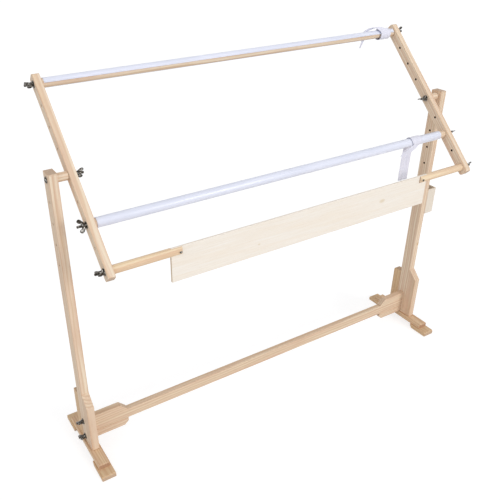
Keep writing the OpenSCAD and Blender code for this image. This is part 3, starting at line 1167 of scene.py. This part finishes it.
@dataclass
class WingNut:
    """A cast wing nut: a round hub under two ears, its edges rounded. Sizes are in millimetres.

    The drill is a profile, and an ear thins from its root outwards.
    """

    hub_rings: tuple[tuple[float, float], ...] = (
        (5.9, 0.0), (6.0, 0.4), (6.0, 1.2), (5.3, 2.2), (4.6, 7.2), (4.1, 8.0))
    ear: tuple[tuple[float, float], ...] = (
        (2.6, 1.4), (5.7, 1.5), (8.6, 3.0), (11.3, 5.0), (13.6, 7.1), (14.8, 9.2), (14.9, 11.2),
        (14.0, 13.2), (12.4, 14.6), (10.4, 15.0), (8.5, 14.5), (7.2, 13.2), (6.2, 11.2),
        (5.0, 8.8), (3.4, 7.6))
    drill: tuple[tuple[float, float], ...] = (
        (4.02, -1.0), (3.02, 0.45), (3.02, 7.6), (3.82, 9.0))
    thick: float = 2.5
    root: float = 0.62
    thinning: float = 0.012
    voxel: float = 0.45
    keep: float = 0.6
    ears_from: float = 9.0
    skin: float = 0.2
    sharp: float = 42.0

    def master(self) -> Mesh:
        """Cast one nut with its base at 0 and its ears along X.

        Returns:
            The mesh, in metres.
        """
        cast = bmesh.new()
        cast.from_mesh(turned_mesh("nut_hub", self.hub_rings))
        for sign in (-1, 1):
            tube(cast, *([cast.verts.new((
                sign * x * MM, half * self.thick * (self.root - self.thinning * x) * MM, z * MM))
                for x, z in self.ear] for half in (-1, 1)))
        drill = placed("nut_drill", turned_mesh("nut_drill", self.drill, 36))
        nut = shaped(
            closed_mesh(cast, "nut_rough"), "nut_cast",
            ("REMESH", {"mode": "VOXEL", "voxel_size": self.voxel * MM}),
            ("SMOOTH", {"factor": 0.5, "iterations": 5}),
            ("DECIMATE", {"ratio": self.keep}),
            ("BOOLEAN", {"operation": "DIFFERENCE", "object": drill, "solver": "EXACT"}))
        bpy.data.objects.remove(drill)
        return nut

    def place(self, node: str) -> Matrix:
        """Read where a nut of the frame sits and how its ears stand.

        Args:
            node: The node's name.

        Returns:
            The matrix from the cast nut to its place.
        """
        points = corners_of(node)
        low, high = points.min(0), points.max(0)
        middle = (low + high) / 2
        away = np.hypot(points[:, 1] - middle[1], points[:, 2] - middle[2])
        at_low = away[points[:, 0] < low[0] + self.skin * MM].mean()
        at_high = away[points[:, 0] > high[0] - self.skin * MM].mean()
        outward = 1.0 if at_high > at_low else -1.0
        base = low[0] if outward > 0 else high[0]
        ears = points[away > self.ears_from * MM][:, 1:] - middle[1:]
        angle = 0.5 * math.atan2(2 * (ears[:, 0] * ears[:, 1]).sum(),
                                 (ears[:, 0] ** 2 - ears[:, 1] ** 2).sum())
        along = Vector((0, math.cos(angle), math.sin(angle)))
        axis = Vector((outward, 0, 0))
        turn = Matrix((along, axis.cross(along), axis)).transposed().to_4x4()
        return Matrix.Translation((base, middle[1], middle[2])) @ turn

    def build(self, steel: Material) -> None:
        """Put a cast nut in the place of each nut of the frame.

        Args:
            steel: The finish.
        """
        cast = self.master()
        for node in sorted(name for name in frame["nodes"] if name.endswith("_nut")):
            mesh = cast.copy()
            mesh.transform(self.place(node))
            smooth_by_angle(mesh, self.sharp)
            own_piece("cast_" + node, mesh, body_with(node), "steel", steel, node)


@dataclass
class SocketBolt:
    """A pivot bolt: a domed head with a hexagon socket and a threaded end."""

    head: tuple[tuple[float, float], ...] = (
        (0.6, 0.0), (6.7, 0.0), (7.0, 0.3), (7.0, 0.9), (6.4, 1.9), (5.3, 2.8), (4.1, 3.35),
        (3.1, 3.55), (2.1, 3.5), (2.0, 3.3), (2.0, 1.4), (0.4, 0.9))
    socket: tuple[int, ...] = (9, 10)
    threaded: float = 0.04
    in_head: float = 0.0005
    sharp: float = 38.0

    def build(self, node: str, rods: ThreadedRods, steel: Material) -> None:
        """Replace a plain pivot bolt.

        Args:
            node: The node's name.
            rods: The maker of its thread.
            steel: The finish.
        """
        points = corners_of(node)
        low, high = points.min(0), points.max(0)
        sign = -1.0 if abs(low[0]) > abs(high[0]) else 1.0
        tip_x, far_x = (high[0], low[0]) if sign < 0 else (low[0], high[0])
        middle_y, middle_z = (low[1] + high[1]) / 2, (low[2] + high[2]) / 2
        seat_x = far_x - sign * max(height for _, height in self.head) * MM
        rod = rods.mesh("rod_" + node, [Vector((tip_x, middle_y, middle_z))],
                        [Vector((sign, 0, 0))], abs(seat_x - tip_x) + self.in_head,
                        self.threaded, steel)
        head = turned_mesh("head_" + node, self.head, hexagon=self.socket)
        turn = Matrix.Rotation(sign * HALF_TURN / 2, 4, "Y")
        head.transform(Matrix.Translation((seat_x, middle_y, middle_z)) @ turn)
        mesh = joined("bolt_" + node, rod, head)
        smooth_by_angle(mesh, self.sharp)
        own_piece("socket_" + node, mesh, body_with(node), "steel", steel, node)


@dataclass
class CrossScrews:
    """Countersunk wood screws with a cross recess. Sizes are in millimetres."""

    head_r: float = 3.0
    head_h: float = 1.4
    shank_r: float = 1.6
    slot_w: float = 0.8
    slot_l: float = 3.4
    slot_d: float = 1.0
    slot_floor: float = 0.55
    point: float = 2.0
    around: int = 36
    sharp: float = 35.0

    def one(self, length: float) -> Mesh:
        """Make a screw whose head faces +Z at 0.

        Args:
            length: The screw's length, in millimetres.

        Returns:
            The mesh, in metres.
        """
        blank = turned_mesh("screw_blank", (
            (0.4, -length), (self.shank_r, -length + self.point),
            (self.shank_r, -self.head_h - 0.2), (self.head_r - 0.1, -0.2),
            (self.head_r, -0.05), (self.head_r - 0.2, 0.0)), self.around)
        cutter = bmesh.new()
        for wide, long in ((self.slot_w, self.slot_l), (self.slot_l, self.slot_w)):
            top, bottom = ([cutter.verts.new((
                x * wide / 2 * share * MM, y * long / 2 * share * MM, height * MM))
                for x, y in ((-1, -1), (1, -1), (1, 1), (-1, 1))]
                for height, share in ((0.2, 1.0), (-self.slot_d, self.slot_floor)))
            tube(cutter, bottom, top)
        tool = placed("screw_cross", closed_mesh(cutter, "screw_cross"))
        screw = shaped(blank, "screw", ("BOOLEAN", {
            "operation": "DIFFERENCE", "object": tool, "solver": "EXACT",
            "use_self": True}))
        bpy.data.objects.remove(tool)
        return screw

    def build(self, node: str, facing: Vector, steel: Material) -> None:
        """Replace a node of plain screws.

        Args:
            node: The node's name.
            facing: The way that the heads face.
            steel: The finish.
        """
        points = corners_of(node)
        apart = 2 if abs(facing.x) > 0.5 else 0
        turn = Vector((0, 0, 1)).rotation_difference(facing).to_matrix()
        meshes = []
        for level in split_levels(points[:, apart]):
            part = points[np.abs(points[:, apart] - level) < GROUP_GAP] @ np.array(turn)
            low, high = part.min(0), part.max(0)
            head = turn @ Vector(((low[0] + high[0]) / 2, (low[1] + high[1]) / 2, high[2]))
            screw = self.one((high[2] - low[2]) / MM)
            spin = Matrix.Rotation(0.5 + 40 * level, 4, "Z")
            screw.transform(Matrix.Translation(head) @ turn.to_4x4() @ spin)
            meshes.append(screw)
        mesh = joined("cross_" + node, *meshes)
        smooth_by_angle(mesh, self.sharp)
        own_piece("cross_" + node, mesh, body_with(node), "steel", steel, node)


# Tie tapes


@dataclass(frozen=True)
class ClothRow:
    """One row across a tape: sizes in millimetres from the axis of its roller."""

    centre: Vector
    across: Vector
    out: Vector
    width: float
    fold: float
    slack: float = 1.0

    def at(self, share: float, height: float) -> Vector:
        """Give a point of the row.

        Args:
            share: Where across it, -1 to 1.
            height: How far off the cloth's middle.

        Returns:
            The point.
        """
        wave = self.fold * math.cos(FULL_TURN * share)
        return self.centre + self.across * (self.width * share / 2) + self.out * (wave + height)

    def towards(self, other: "ClothRow", share: float) -> "ClothRow":
        """Give a row between this one and another.

        Args:
            other: The row at 1.
            share: Where between them.

        Returns:
            The new row.
        """
        sizes = ((self.width, other.width), (self.fold, other.fold), (self.slack, other.slack))
        return ClothRow(self.centre.lerp(other.centre, share),
                        self.across.lerp(other.across, share).normalized(),
                        self.out.lerp(other.out, share).normalized(),
                        *(first + (second - first) * share for first, second in sizes))


Line = list[tuple[Vector, Vector]]


@dataclass
class TieTape:
    """A cotton tie tape, woven across its width, that winds on or hangs from a roller."""

    node: str
    body: str
    joint: str
    rests_on: str
    width: float = 34.0
    thick: float = 0.86
    thin_edge: float = 0.45
    edge_from: float = 0.965
    columns: int = 44
    wrinkle: float = 0.16
    clip_out: float = 11.02

    def rows(self) -> list[ClothRow]:
        """Lay the rows of the tape from one end to the other."""
        raise NotImplementedError

    def round_row(self, angle: float, x: float, radius: float, width: float,
                  fold: float) -> ClothRow:
        """Lay a row round the roller.

        Args:
            angle: Where: 0 is the front, 90 the top and 180 the back.
            x: Its middle along the roller.
            radius: Its distance from the axis.
            width: Its width.
            fold: How deep its folds are.

        Returns:
            The row.
        """
        turn = math.radians(angle)
        out = Vector((0, -math.cos(turn), math.sin(turn)))
        return ClothRow(Vector((x, 0, 0)) + out * radius, Vector((1, 0, 0)), out, width, fold,
                        0.1)

    def lines(self) -> list[Line]:
        """Wrinkle the rows.

        Returns:
            The places across each row, each with the way that the cloth faces there.
        """
        lines = []
        for number, row in enumerate(self.rows()):
            line = []
            for column in range(self.columns + 1):
                share = 2 * column / self.columns - 1
                ripple = self.wrinkle * row.slack * (math.sin(0.9 * number + 5.0 * share)
                                                     + math.sin(0.37 * number - 9.0 * share + 1.0))
                line.append((row.at(share, ripple), row.out))
            lines.append(line)
        return lines

    def laid(self, lines: list[Line]) -> tuple[list[float], float]:
        """Measure the tape as it lies flat.

        Args:
            lines: The places across each row.

        Returns:
            How far along it each row lies, and its area, in millimetres.
        """
        widths = [[(after[0] - place[0]).length for place, after in zip(line, line[1:])]
                  for line in lines]
        along, area = [0.0], 0.0
        for number in range(1, len(lines)):
            steps = [(after[0] - place[0]).length
                     for place, after in zip(lines[number - 1], lines[number])]
            step = sum(steps) / len(steps)
            both = sum(new + old for new, old in zip(widths[number], widths[number - 1]))
            area += step * both / 2
            along.append(along[-1] + step)
        return along, area

    def mesh(self) -> tuple[Mesh, float, float]:
        """Weave the tape as a closed shell with its own UV map.

        Returns:
            The mesh, the tape's length and its area as laid, in metres.
        """
        lines = self.lines()
        along, area = self.laid(lines)
        origin = Vector(hinge_point(self.joint)) / MM
        woven = bmesh.new()
        cloth = woven.loops.layers.uv.new("cloth")
        spots = {}
        layers = []
        for sign in (1, -1):
            layer = []
            for number, line in enumerate(lines):
                layer.append([])
                for column, (place, out) in enumerate(line):
                    edge = 1 - self.thin_edge * ease(abs(2 * column / self.columns - 1),
                                                     self.edge_from, 1.0)
                    spot = place + out * (sign * self.thick * edge / 2) + origin
                    vert = woven.verts.new(spot * MM)
                    spots[vert] = (column * self.width / self.columns, along[number])
                    layer[-1].append(vert)
            layers.append(layer)
        front, back = layers
        last = len(lines) - 1
        for number in range(last):
            for column in range(self.columns):
                woven.faces.new((front[number][column], front[number][column + 1],
                                 front[number + 1][column + 1], front[number + 1][column]))
                woven.faces.new((back[number][column], back[number + 1][column],
                                 back[number + 1][column + 1], back[number][column + 1]))
            for column in (0, self.columns):
                woven.faces.new((front[number][column], front[number + 1][column],
                                 back[number + 1][column], back[number][column]))
        for column in range(self.columns):
            for number in (0, last):
                woven.faces.new((front[number][column], front[number][column + 1],
                                 back[number][column + 1], back[number][column]))
        for face in woven.faces:
            face.smooth = True
            for loop in face.loops:
                loop[cloth].uv = spots[loop.vert]
        mesh = closed_mesh(woven, self.node + "_cloth")
        return mesh, along[-1] * MM, area * MM * MM

    def build(self, tape: Material) -> None:
        """Hang the tape in place of its node.

        Args:
            tape: The finish.
        """
        mesh, length, area = self.mesh()
        piece = own_piece("woven_" + self.node, mesh, self.body, "tape_cloth", tape, self.node)
        LOG.info("tape %s is %.0f mm long, %.0f mm2", self.node, length / MM, area / MM / MM)


@dataclass
class WoundTape(TieTape):
    """The upper tape: once round the roller flat, then bunched, over it and down behind."""

    drop: float = 35.0
    band_x: float = 463.0
    step: float = 52.0
    clear: float = 1.1
    bunched: float = 11.0
    bunch_rise: float = 3.5
    bunch_fold: float = 1.3
    bunch_span: tuple[float, float] = (380.0, 520.0)
    layer: float = 0.9
    start: int = -60
    end: int = 540
    tail_rows: int = 16

    def over(self, angle: float) -> ClothRow:
        """Lay a row of the wound stretch.

        Args:
            angle: Where round the roller, from the start to the end.

        Returns:
            The row.
        """
        bunch = ease(angle, *self.bunch_span)
        lap = (angle - self.start) / 360.0
        radius = (self.clip_out + self.clear + self.layer * (0.5 + 2 * lap)
                  + self.bunch_rise * math.sin(HALF_TURN * bunch) ** 2)
        return self.round_row(angle, self.band_x - self.step * bunch, radius,
                              self.width - (self.width - self.bunched) * bunch,
                              0.2 + self.bunch_fold * bunch)

    def tail(self, share: float) -> ClothRow:
        """Lay a row of the narrow tail behind.

        Args:
            share: Where along it, 0 to 1.

        Returns:
            The row.
        """
        fall = Vector((9 * share * share, -2 * share, self.drop * share))
        return ClothRow(self.over(self.end).centre - fall,
                        Vector((1, 0.3 * share, -0.25 * share)).normalized(),
                        Vector((-0.3 * share, 1, 0)).normalized(),
                        self.bunched - 6.0 * share, self.bunch_fold * (1 - 0.6 * share))

    def rows(self) -> list[ClothRow]:
        """Lay the rows of the tape from one end to the other.

        Returns:
            The wound rows and those of the tail.
        """
        wound = [self.over(float(angle)) for angle in range(self.start, self.end + 1, 5)]
        return wound + [self.tail(number / self.tail_rows)
                        for number in range(1, self.tail_rows + 1)]


@dataclass
class LoopedTape(TieTape):
    """The lower tape: a pointed end in front, over the roller, and down behind."""

    drop: float = 112.0
    place_x: float = 388.0
    clear: float = 1.85
    point: tuple[tuple[Triple, float], ...] = (
        ((-46, -5, -31), 2.0), ((-34, -8, -24), 9.0), ((-20, -11.5, -17), 16.0))
    falling: int = 28
    finer: int = 5

    def rows(self) -> list[ClothRow]:
        """Lay the rows of the tape from one end to the other.

        Returns:
            The rows, closer together at the pointed end.
        """
        radius = self.clip_out + self.clear
        across = Vector((0.8, 0, -0.6)).normalized()
        out = Vector((0.35, -0.8, 0.47)).normalized()
        middle = Vector((self.place_x, 0, 0))
        pointed = [ClothRow(middle + Vector(place), across, out, width, 0.3)
                   for place, width in self.point]
        looped = [self.round_row(angle, self.place_x, radius,
                                 self.width - 10 * ease(-angle, -40.0, 30.0), 0.0)
                  for angle in range(-20, 181, 5)]
        for number in range(1, self.falling + 1):
            share = number / self.falling
            looped.append(ClothRow(
                Vector((self.place_x - 4 * share, radius + 1.5 * math.sin(HALF_TURN * share),
                        -self.drop * share)),
                Vector((1, 0, 0)), Vector((0, 1, 0)), self.width,
                1.1 * ease(share, 0.0, 0.5)))
        fine = [row.towards(after, step / self.finer)
                for row, after in zip(pointed, pointed[1:] + looped[:1])
                for step in range(self.finer)]
        return fine + looped


# Sub-assemblies


@dataclass
class SideFrame:
    """A post with its two blocks and its foot."""

    side: Side
    seed: int
    edge: float = 0.7
    foot_edge: float = 1.1

    def build(self) -> None:
        """Dress the side's pieces in pine."""
        # Only the right post's holes get painted shade on their walls.
        post_with_hole_shade = Pine(bore=2 if self.side is Side.RIGHT else None)
        sloped = Pine(early=srgb(236, 216, 192), late=srgb(200, 166, 132), end_share=0.1)
        foot = Pine(early=srgb(234, 209, 176), late=srgb(198, 158, 118),
                    blush=srgb(210, 170, 140), end=srgb(168, 128, 102), end_share=0.7)
        darker = Pine(early=srgb(226, 200, 164), late=srgb(200, 160, 118),
                      blush=srgb(214, 178, 142))
        knots = (Knot((-110.0, 4.0, 0.0), 3.2),) if self.side is Side.RIGHT else ()
        pieces = (("post", post_with_hole_shade, Grain.UPRIGHT, self.edge, knots),
                  ("front_block", sloped, Grain.UPRIGHT, self.edge, ()),
                  ("rear_block", darker, Grain.UPRIGHT, self.edge, ()),
                  ("foot_rail", foot, Grain.DEPTH, self.foot_edge, ()),
                  ("front_pad", darker, Grain.DEPTH, self.foot_edge, ()),
                  ("rear_pad", darker, Grain.DEPTH, self.foot_edge, ()))
        for number, (word, finish, grain, edge, marks) in enumerate(pieces):
            node = f"{self.side.word}_{word}"
            dress(node, finish.material(node, grain, self.seed * 10 + number, marks), edge)


@dataclass
class Stretcher:
    """The stretcher between the posts, with its cheek blocks, studs and washers."""

    edge: float = 0.7
    washer_edge: float = 0.25
    threaded: float = 0.04
    seed: int = 31

    def build(self, rods: ThreadedRods, steel: Material) -> None:
        """Dress the stretcher and thread its studs.

        Args:
            rods: The maker of threaded rods.
            steel: The finish of its fixings.
        """
        names = ("stretcher", "left_upper_cheek", "left_lower_cheek", "right_upper_cheek",
                 "right_lower_cheek")
        finish = Pine(early=srgb(236, 217, 192), late=srgb(200, 166, 130))
        for number, node in enumerate(names):
            dress(node, finish.material(node, Grain.ACROSS, self.seed + number), self.edge)
        rods.through("stretcher_studs", steel, self.threaded)
        dress("stretcher_washers", steel, self.washer_edge)


@dataclass
class Pivots:
    """The two pivots: a spacer on a socket bolt at each side."""

    edge: float = 0.6
    seed: int = 41

    def build(self, rods: ThreadedRods, steel: Material) -> None:
        """Dress the spacers and make the bolts.

        Args:
            rods: The maker of threaded rods.
            steel: The finish of the bolts.
        """
        for number, side in enumerate(Side):
            node = f"{side.word}_spacer"
            dress(node, Pine().material(node, Grain.ACROSS, self.seed + number), self.edge)
            SocketBolt().build(f"{side.word}_pivot_bolt", rods, steel)


@dataclass
class ToolHolder:
    """The open box on the outer face of the right post."""

    edge: float = 0.5
    seed: int = 51

    def build(self, steel: Material) -> None:
        """Dress the box and make its screws.

        Args:
            steel: The finish of the screws.
        """
        board = PaleBoard(light=srgb(234, 225, 213), shade=srgb(222, 209, 192))
        dress("tool_holder", board.material("tool_holder", Grain.UPRIGHT, self.seed), self.edge)
        CrossScrews(head_r=3.6, head_h=2.0, shank_r=2.0, slot_l=4.2).build(
            "holder_screws", Vector((1, 0, 0)), steel)


@dataclass
class TiltFrame:
    """The two drilled arms that tilt on the pivots."""

    edge: float = 0.9
    washer_edge: float = 0.25
    seed: int = 61

    def build(self, steel: Material) -> None:
        """Dress the arms and their washers.

        Args:
            steel: The finish of the washers.
        """
        for number, side in enumerate(Side):
            node = f"{side.word}_arm"
            # Only the right arm's holes get painted shade on their walls.
            finish = Pine(late=srgb(222, 190, 156), bore=2 if side is Side.RIGHT else None)
            dress(node, finish.material(node, Grain.ARM, self.seed + number), self.edge)
        dress("arm_washers", steel, self.washer_edge)


@dataclass
class ClipRoller:
    """A dowel roller under a snap-on clip, with a threaded stud at each end."""

    name: str
    seed: int
    edge: float = 0.4
    clip_edge: float = 0.2
    threaded: float = 0.042

    def build(self, rods: ThreadedRods, clip: Material, steel: Material) -> None:
        """Dress the roller and its clip and thread its studs.

        Args:
            rods: The maker of threaded rods.
            clip: The finish of the clip.
            steel: The finish of the studs.
        """
        node = f"{self.name}_roller"
        dress(node, Pine().material(node, Grain.ACROSS, self.seed), self.edge)
        dress(f"{self.name}_clip", clip, self.clip_edge)
        rods.through(f"{self.name}_studs", steel, self.threaded)


@dataclass
class RestBoard:
    """The swinging board between its two rail ends."""

    edge: float = 0.8
    stub_edge: float = 0.4
    threaded: float = 0.042
    seed: int = 71

    def build(self, rods: ThreadedRods, steel: Material) -> None:
        """Dress the board and its rail ends, thread its studs and make its screws.

        Args:
            rods: The maker of threaded rods.
            steel: The finish of its fixings.
        """
        knots = (Knot((220.0, 0.0, -3.0), 8.0), Knot((-150.0, 0.0, 12.0), 3.0))
        dress("rest_board",
              PaleBoard().material("rest_board", Grain.REST, self.seed, knots), self.edge)
        finish = Pine(early=srgb(246, 228, 198), late=srgb(230, 194, 150))
        for number, side in enumerate(Side, 1):
            node = f"{side.word}_rest_stub"
            dress(node, finish.material(node, Grain.ACROSS, self.seed + number), self.stub_edge)
        rods.through("rest_studs", steel, self.threaded)
        CrossScrews().build("rest_screws", board_face(), steel)


# Room and light


@dataclass(frozen=True)
class Lamp:
    """A soft lamp: the angle that it fills, and how far right of the front and how high it is."""

    name: str
    strength: float
    soft: float
    aside: float
    height: float

    def hang(self) -> None:
        """Hang the lamp in the room."""
        data = bpy.data.lights.new(self.name, "SUN")
        data.energy = self.strength
        data.angle = math.radians(self.soft)
        aside, height = math.radians(self.aside), math.radians(self.height)
        towards = Vector((math.sin(aside) * math.cos(height),
                          -math.cos(aside) * math.cos(height), math.sin(height)))
        placed(self.name, data).rotation_euler = towards.to_track_quat("Z", "Y").to_euler()


@dataclass
class Studio:
    """The camera at the photograph's angle, a pale floor and soft light. Angles are in degrees."""

    place: Triple = (-0.86879, -1.15132, 1.23373)
    yaw: float = 30.741
    dip: float = 30.496
    roll: float = -0.454
    lens: float = 44.908
    sensor: float = 36.0
    shift: tuple[float, float] = (0.07393, 0.01854)
    ambient: float = 0.55
    lamps: tuple[Lamp, ...] = (Lamp("key", 1.25, 24.0, 18.0, 22.0),
                               Lamp("fill", 0.54, 60.0, -70.0, 35.0))
    floor_reach: float = 9.0
    floor_drop: float = 0.0005
    glow: float = 0.72
    white: Colour = (1.0, 1.0, 1.0, 1.0)
    pale: Colour = (0.8, 0.8, 0.8, 1)
    dim: Colour = (0.42, 0.42, 0.43, 1)

    def build(self) -> None:
        """Set the camera, the floor, the world and the lamps."""
        self.camera()
        self.floor()
        self.world()
        for lamp in self.lamps:
            lamp.hang()
        bpy.context.scene.view_settings.view_transform = "Standard"

    def camera(self) -> None:
        """Stand the camera where the photograph was taken from."""
        data = bpy.data.cameras.new("camera")
        data.lens = self.lens
        data.sensor_width = self.sensor
        data.shift_x, data.shift_y = self.shift
        data.clip_start, data.clip_end = 0.05, 50.0
        camera = placed("camera", data)
        camera.location = self.place
        turn = (Matrix.Rotation(math.radians(-self.yaw), 3, "Z")
                @ Matrix.Rotation(math.radians(90 - self.dip), 3, "X")
                @ Matrix.Rotation(math.radians(self.roll), 3, "Z"))
        camera.rotation_euler = turn.to_euler()
        bpy.context.scene.camera = camera

    def floor(self) -> None:
        """Lay the floor: white to the camera but for the stand's own soft shadow."""
        mesh = bpy.data.meshes.new("floor")
        corners = ((-1, -1), (1, -1), (1, 1), (-1, 1))
        mesh.from_pydata([(x * self.floor_reach, y * self.floor_reach, 0) for x, y in corners],
                         [], [(0, 1, 2, 3)])
        shader = Shader("white_floor")
        shader.tree.nodes.remove(shader.surface)
        plain = shader.add("ShaderNodeBsdfDiffuse", {"Color": self.pale})
        shadowed = shader.add("ShaderNodeBsdfDiffuse", {"Color": self.dim})
        glow = shader.add("ShaderNodeEmission", {"Color": self.white, "Strength": self.glow})
        lit = shader.add("ShaderNodeAddShader", {0: shadowed.outputs[0], 1: glow.outputs[0]})
        choice = shader.add("ShaderNodeMixShader",
                            {0: shader.seen(), 1: plain.outputs[0], 2: lit.outputs[0]})
        shader.link(choice.outputs[0], shader.tree.nodes["Material Output"].inputs["Surface"])
        mesh.materials.append(shader.material)
        floor = placed("floor", mesh)
        floor.location = (0, 0, -self.floor_drop)

    def world(self) -> None:
        """Light the room evenly and show white behind the stand."""
        world = bpy.data.worlds.new("studio")
        world.use_nodes = True
        tree = NodeTree(world.node_tree)
        background = tree.tree.nodes["Background"]
        level = tree.add("ShaderNodeMapRange",
                         {"Value": tree.seen(), "To Min": self.ambient, "To Max": 1.0})
        tree.link(self.white, background.inputs["Color"])
        tree.link(level.outputs["Result"], background.inputs["Strength"])
        bpy.context.scene.world = world


def main() -> None:
    """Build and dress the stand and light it."""
    logging.basicConfig(level=logging.INFO, format="%(name)s: %(message)s")
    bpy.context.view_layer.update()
    Studio().build()
    finishes = Finishes(ClipPlastic().material(), PlatedSteel().material(),
                        CottonTape().material())
    rods = ThreadedRods()
    for number, side in enumerate(Side, 1):
        SideFrame(side, number).build()
    Stretcher().build(rods, finishes.steel)
    Pivots().build(rods, finishes.steel)
    ToolHolder().build(finishes.steel)
    TiltFrame().build(finishes.steel)
    for name, seed in (("top", 81), ("lower", 84)):
        ClipRoller(name, seed).build(rods, finishes.clip, finishes.steel)
    RestBoard().build(rods, finishes.steel)
    WingNut().build(finishes.steel)
    WoundTape("top_tape", "top_roller", "top_roller_turn", "top_clip").build(finishes.tape)
    LoopedTape("lower_tape", "frame", "lower_roller_turn", "lower_clip").build(finishes.tape)


if __name__ == "__main__":
    main()
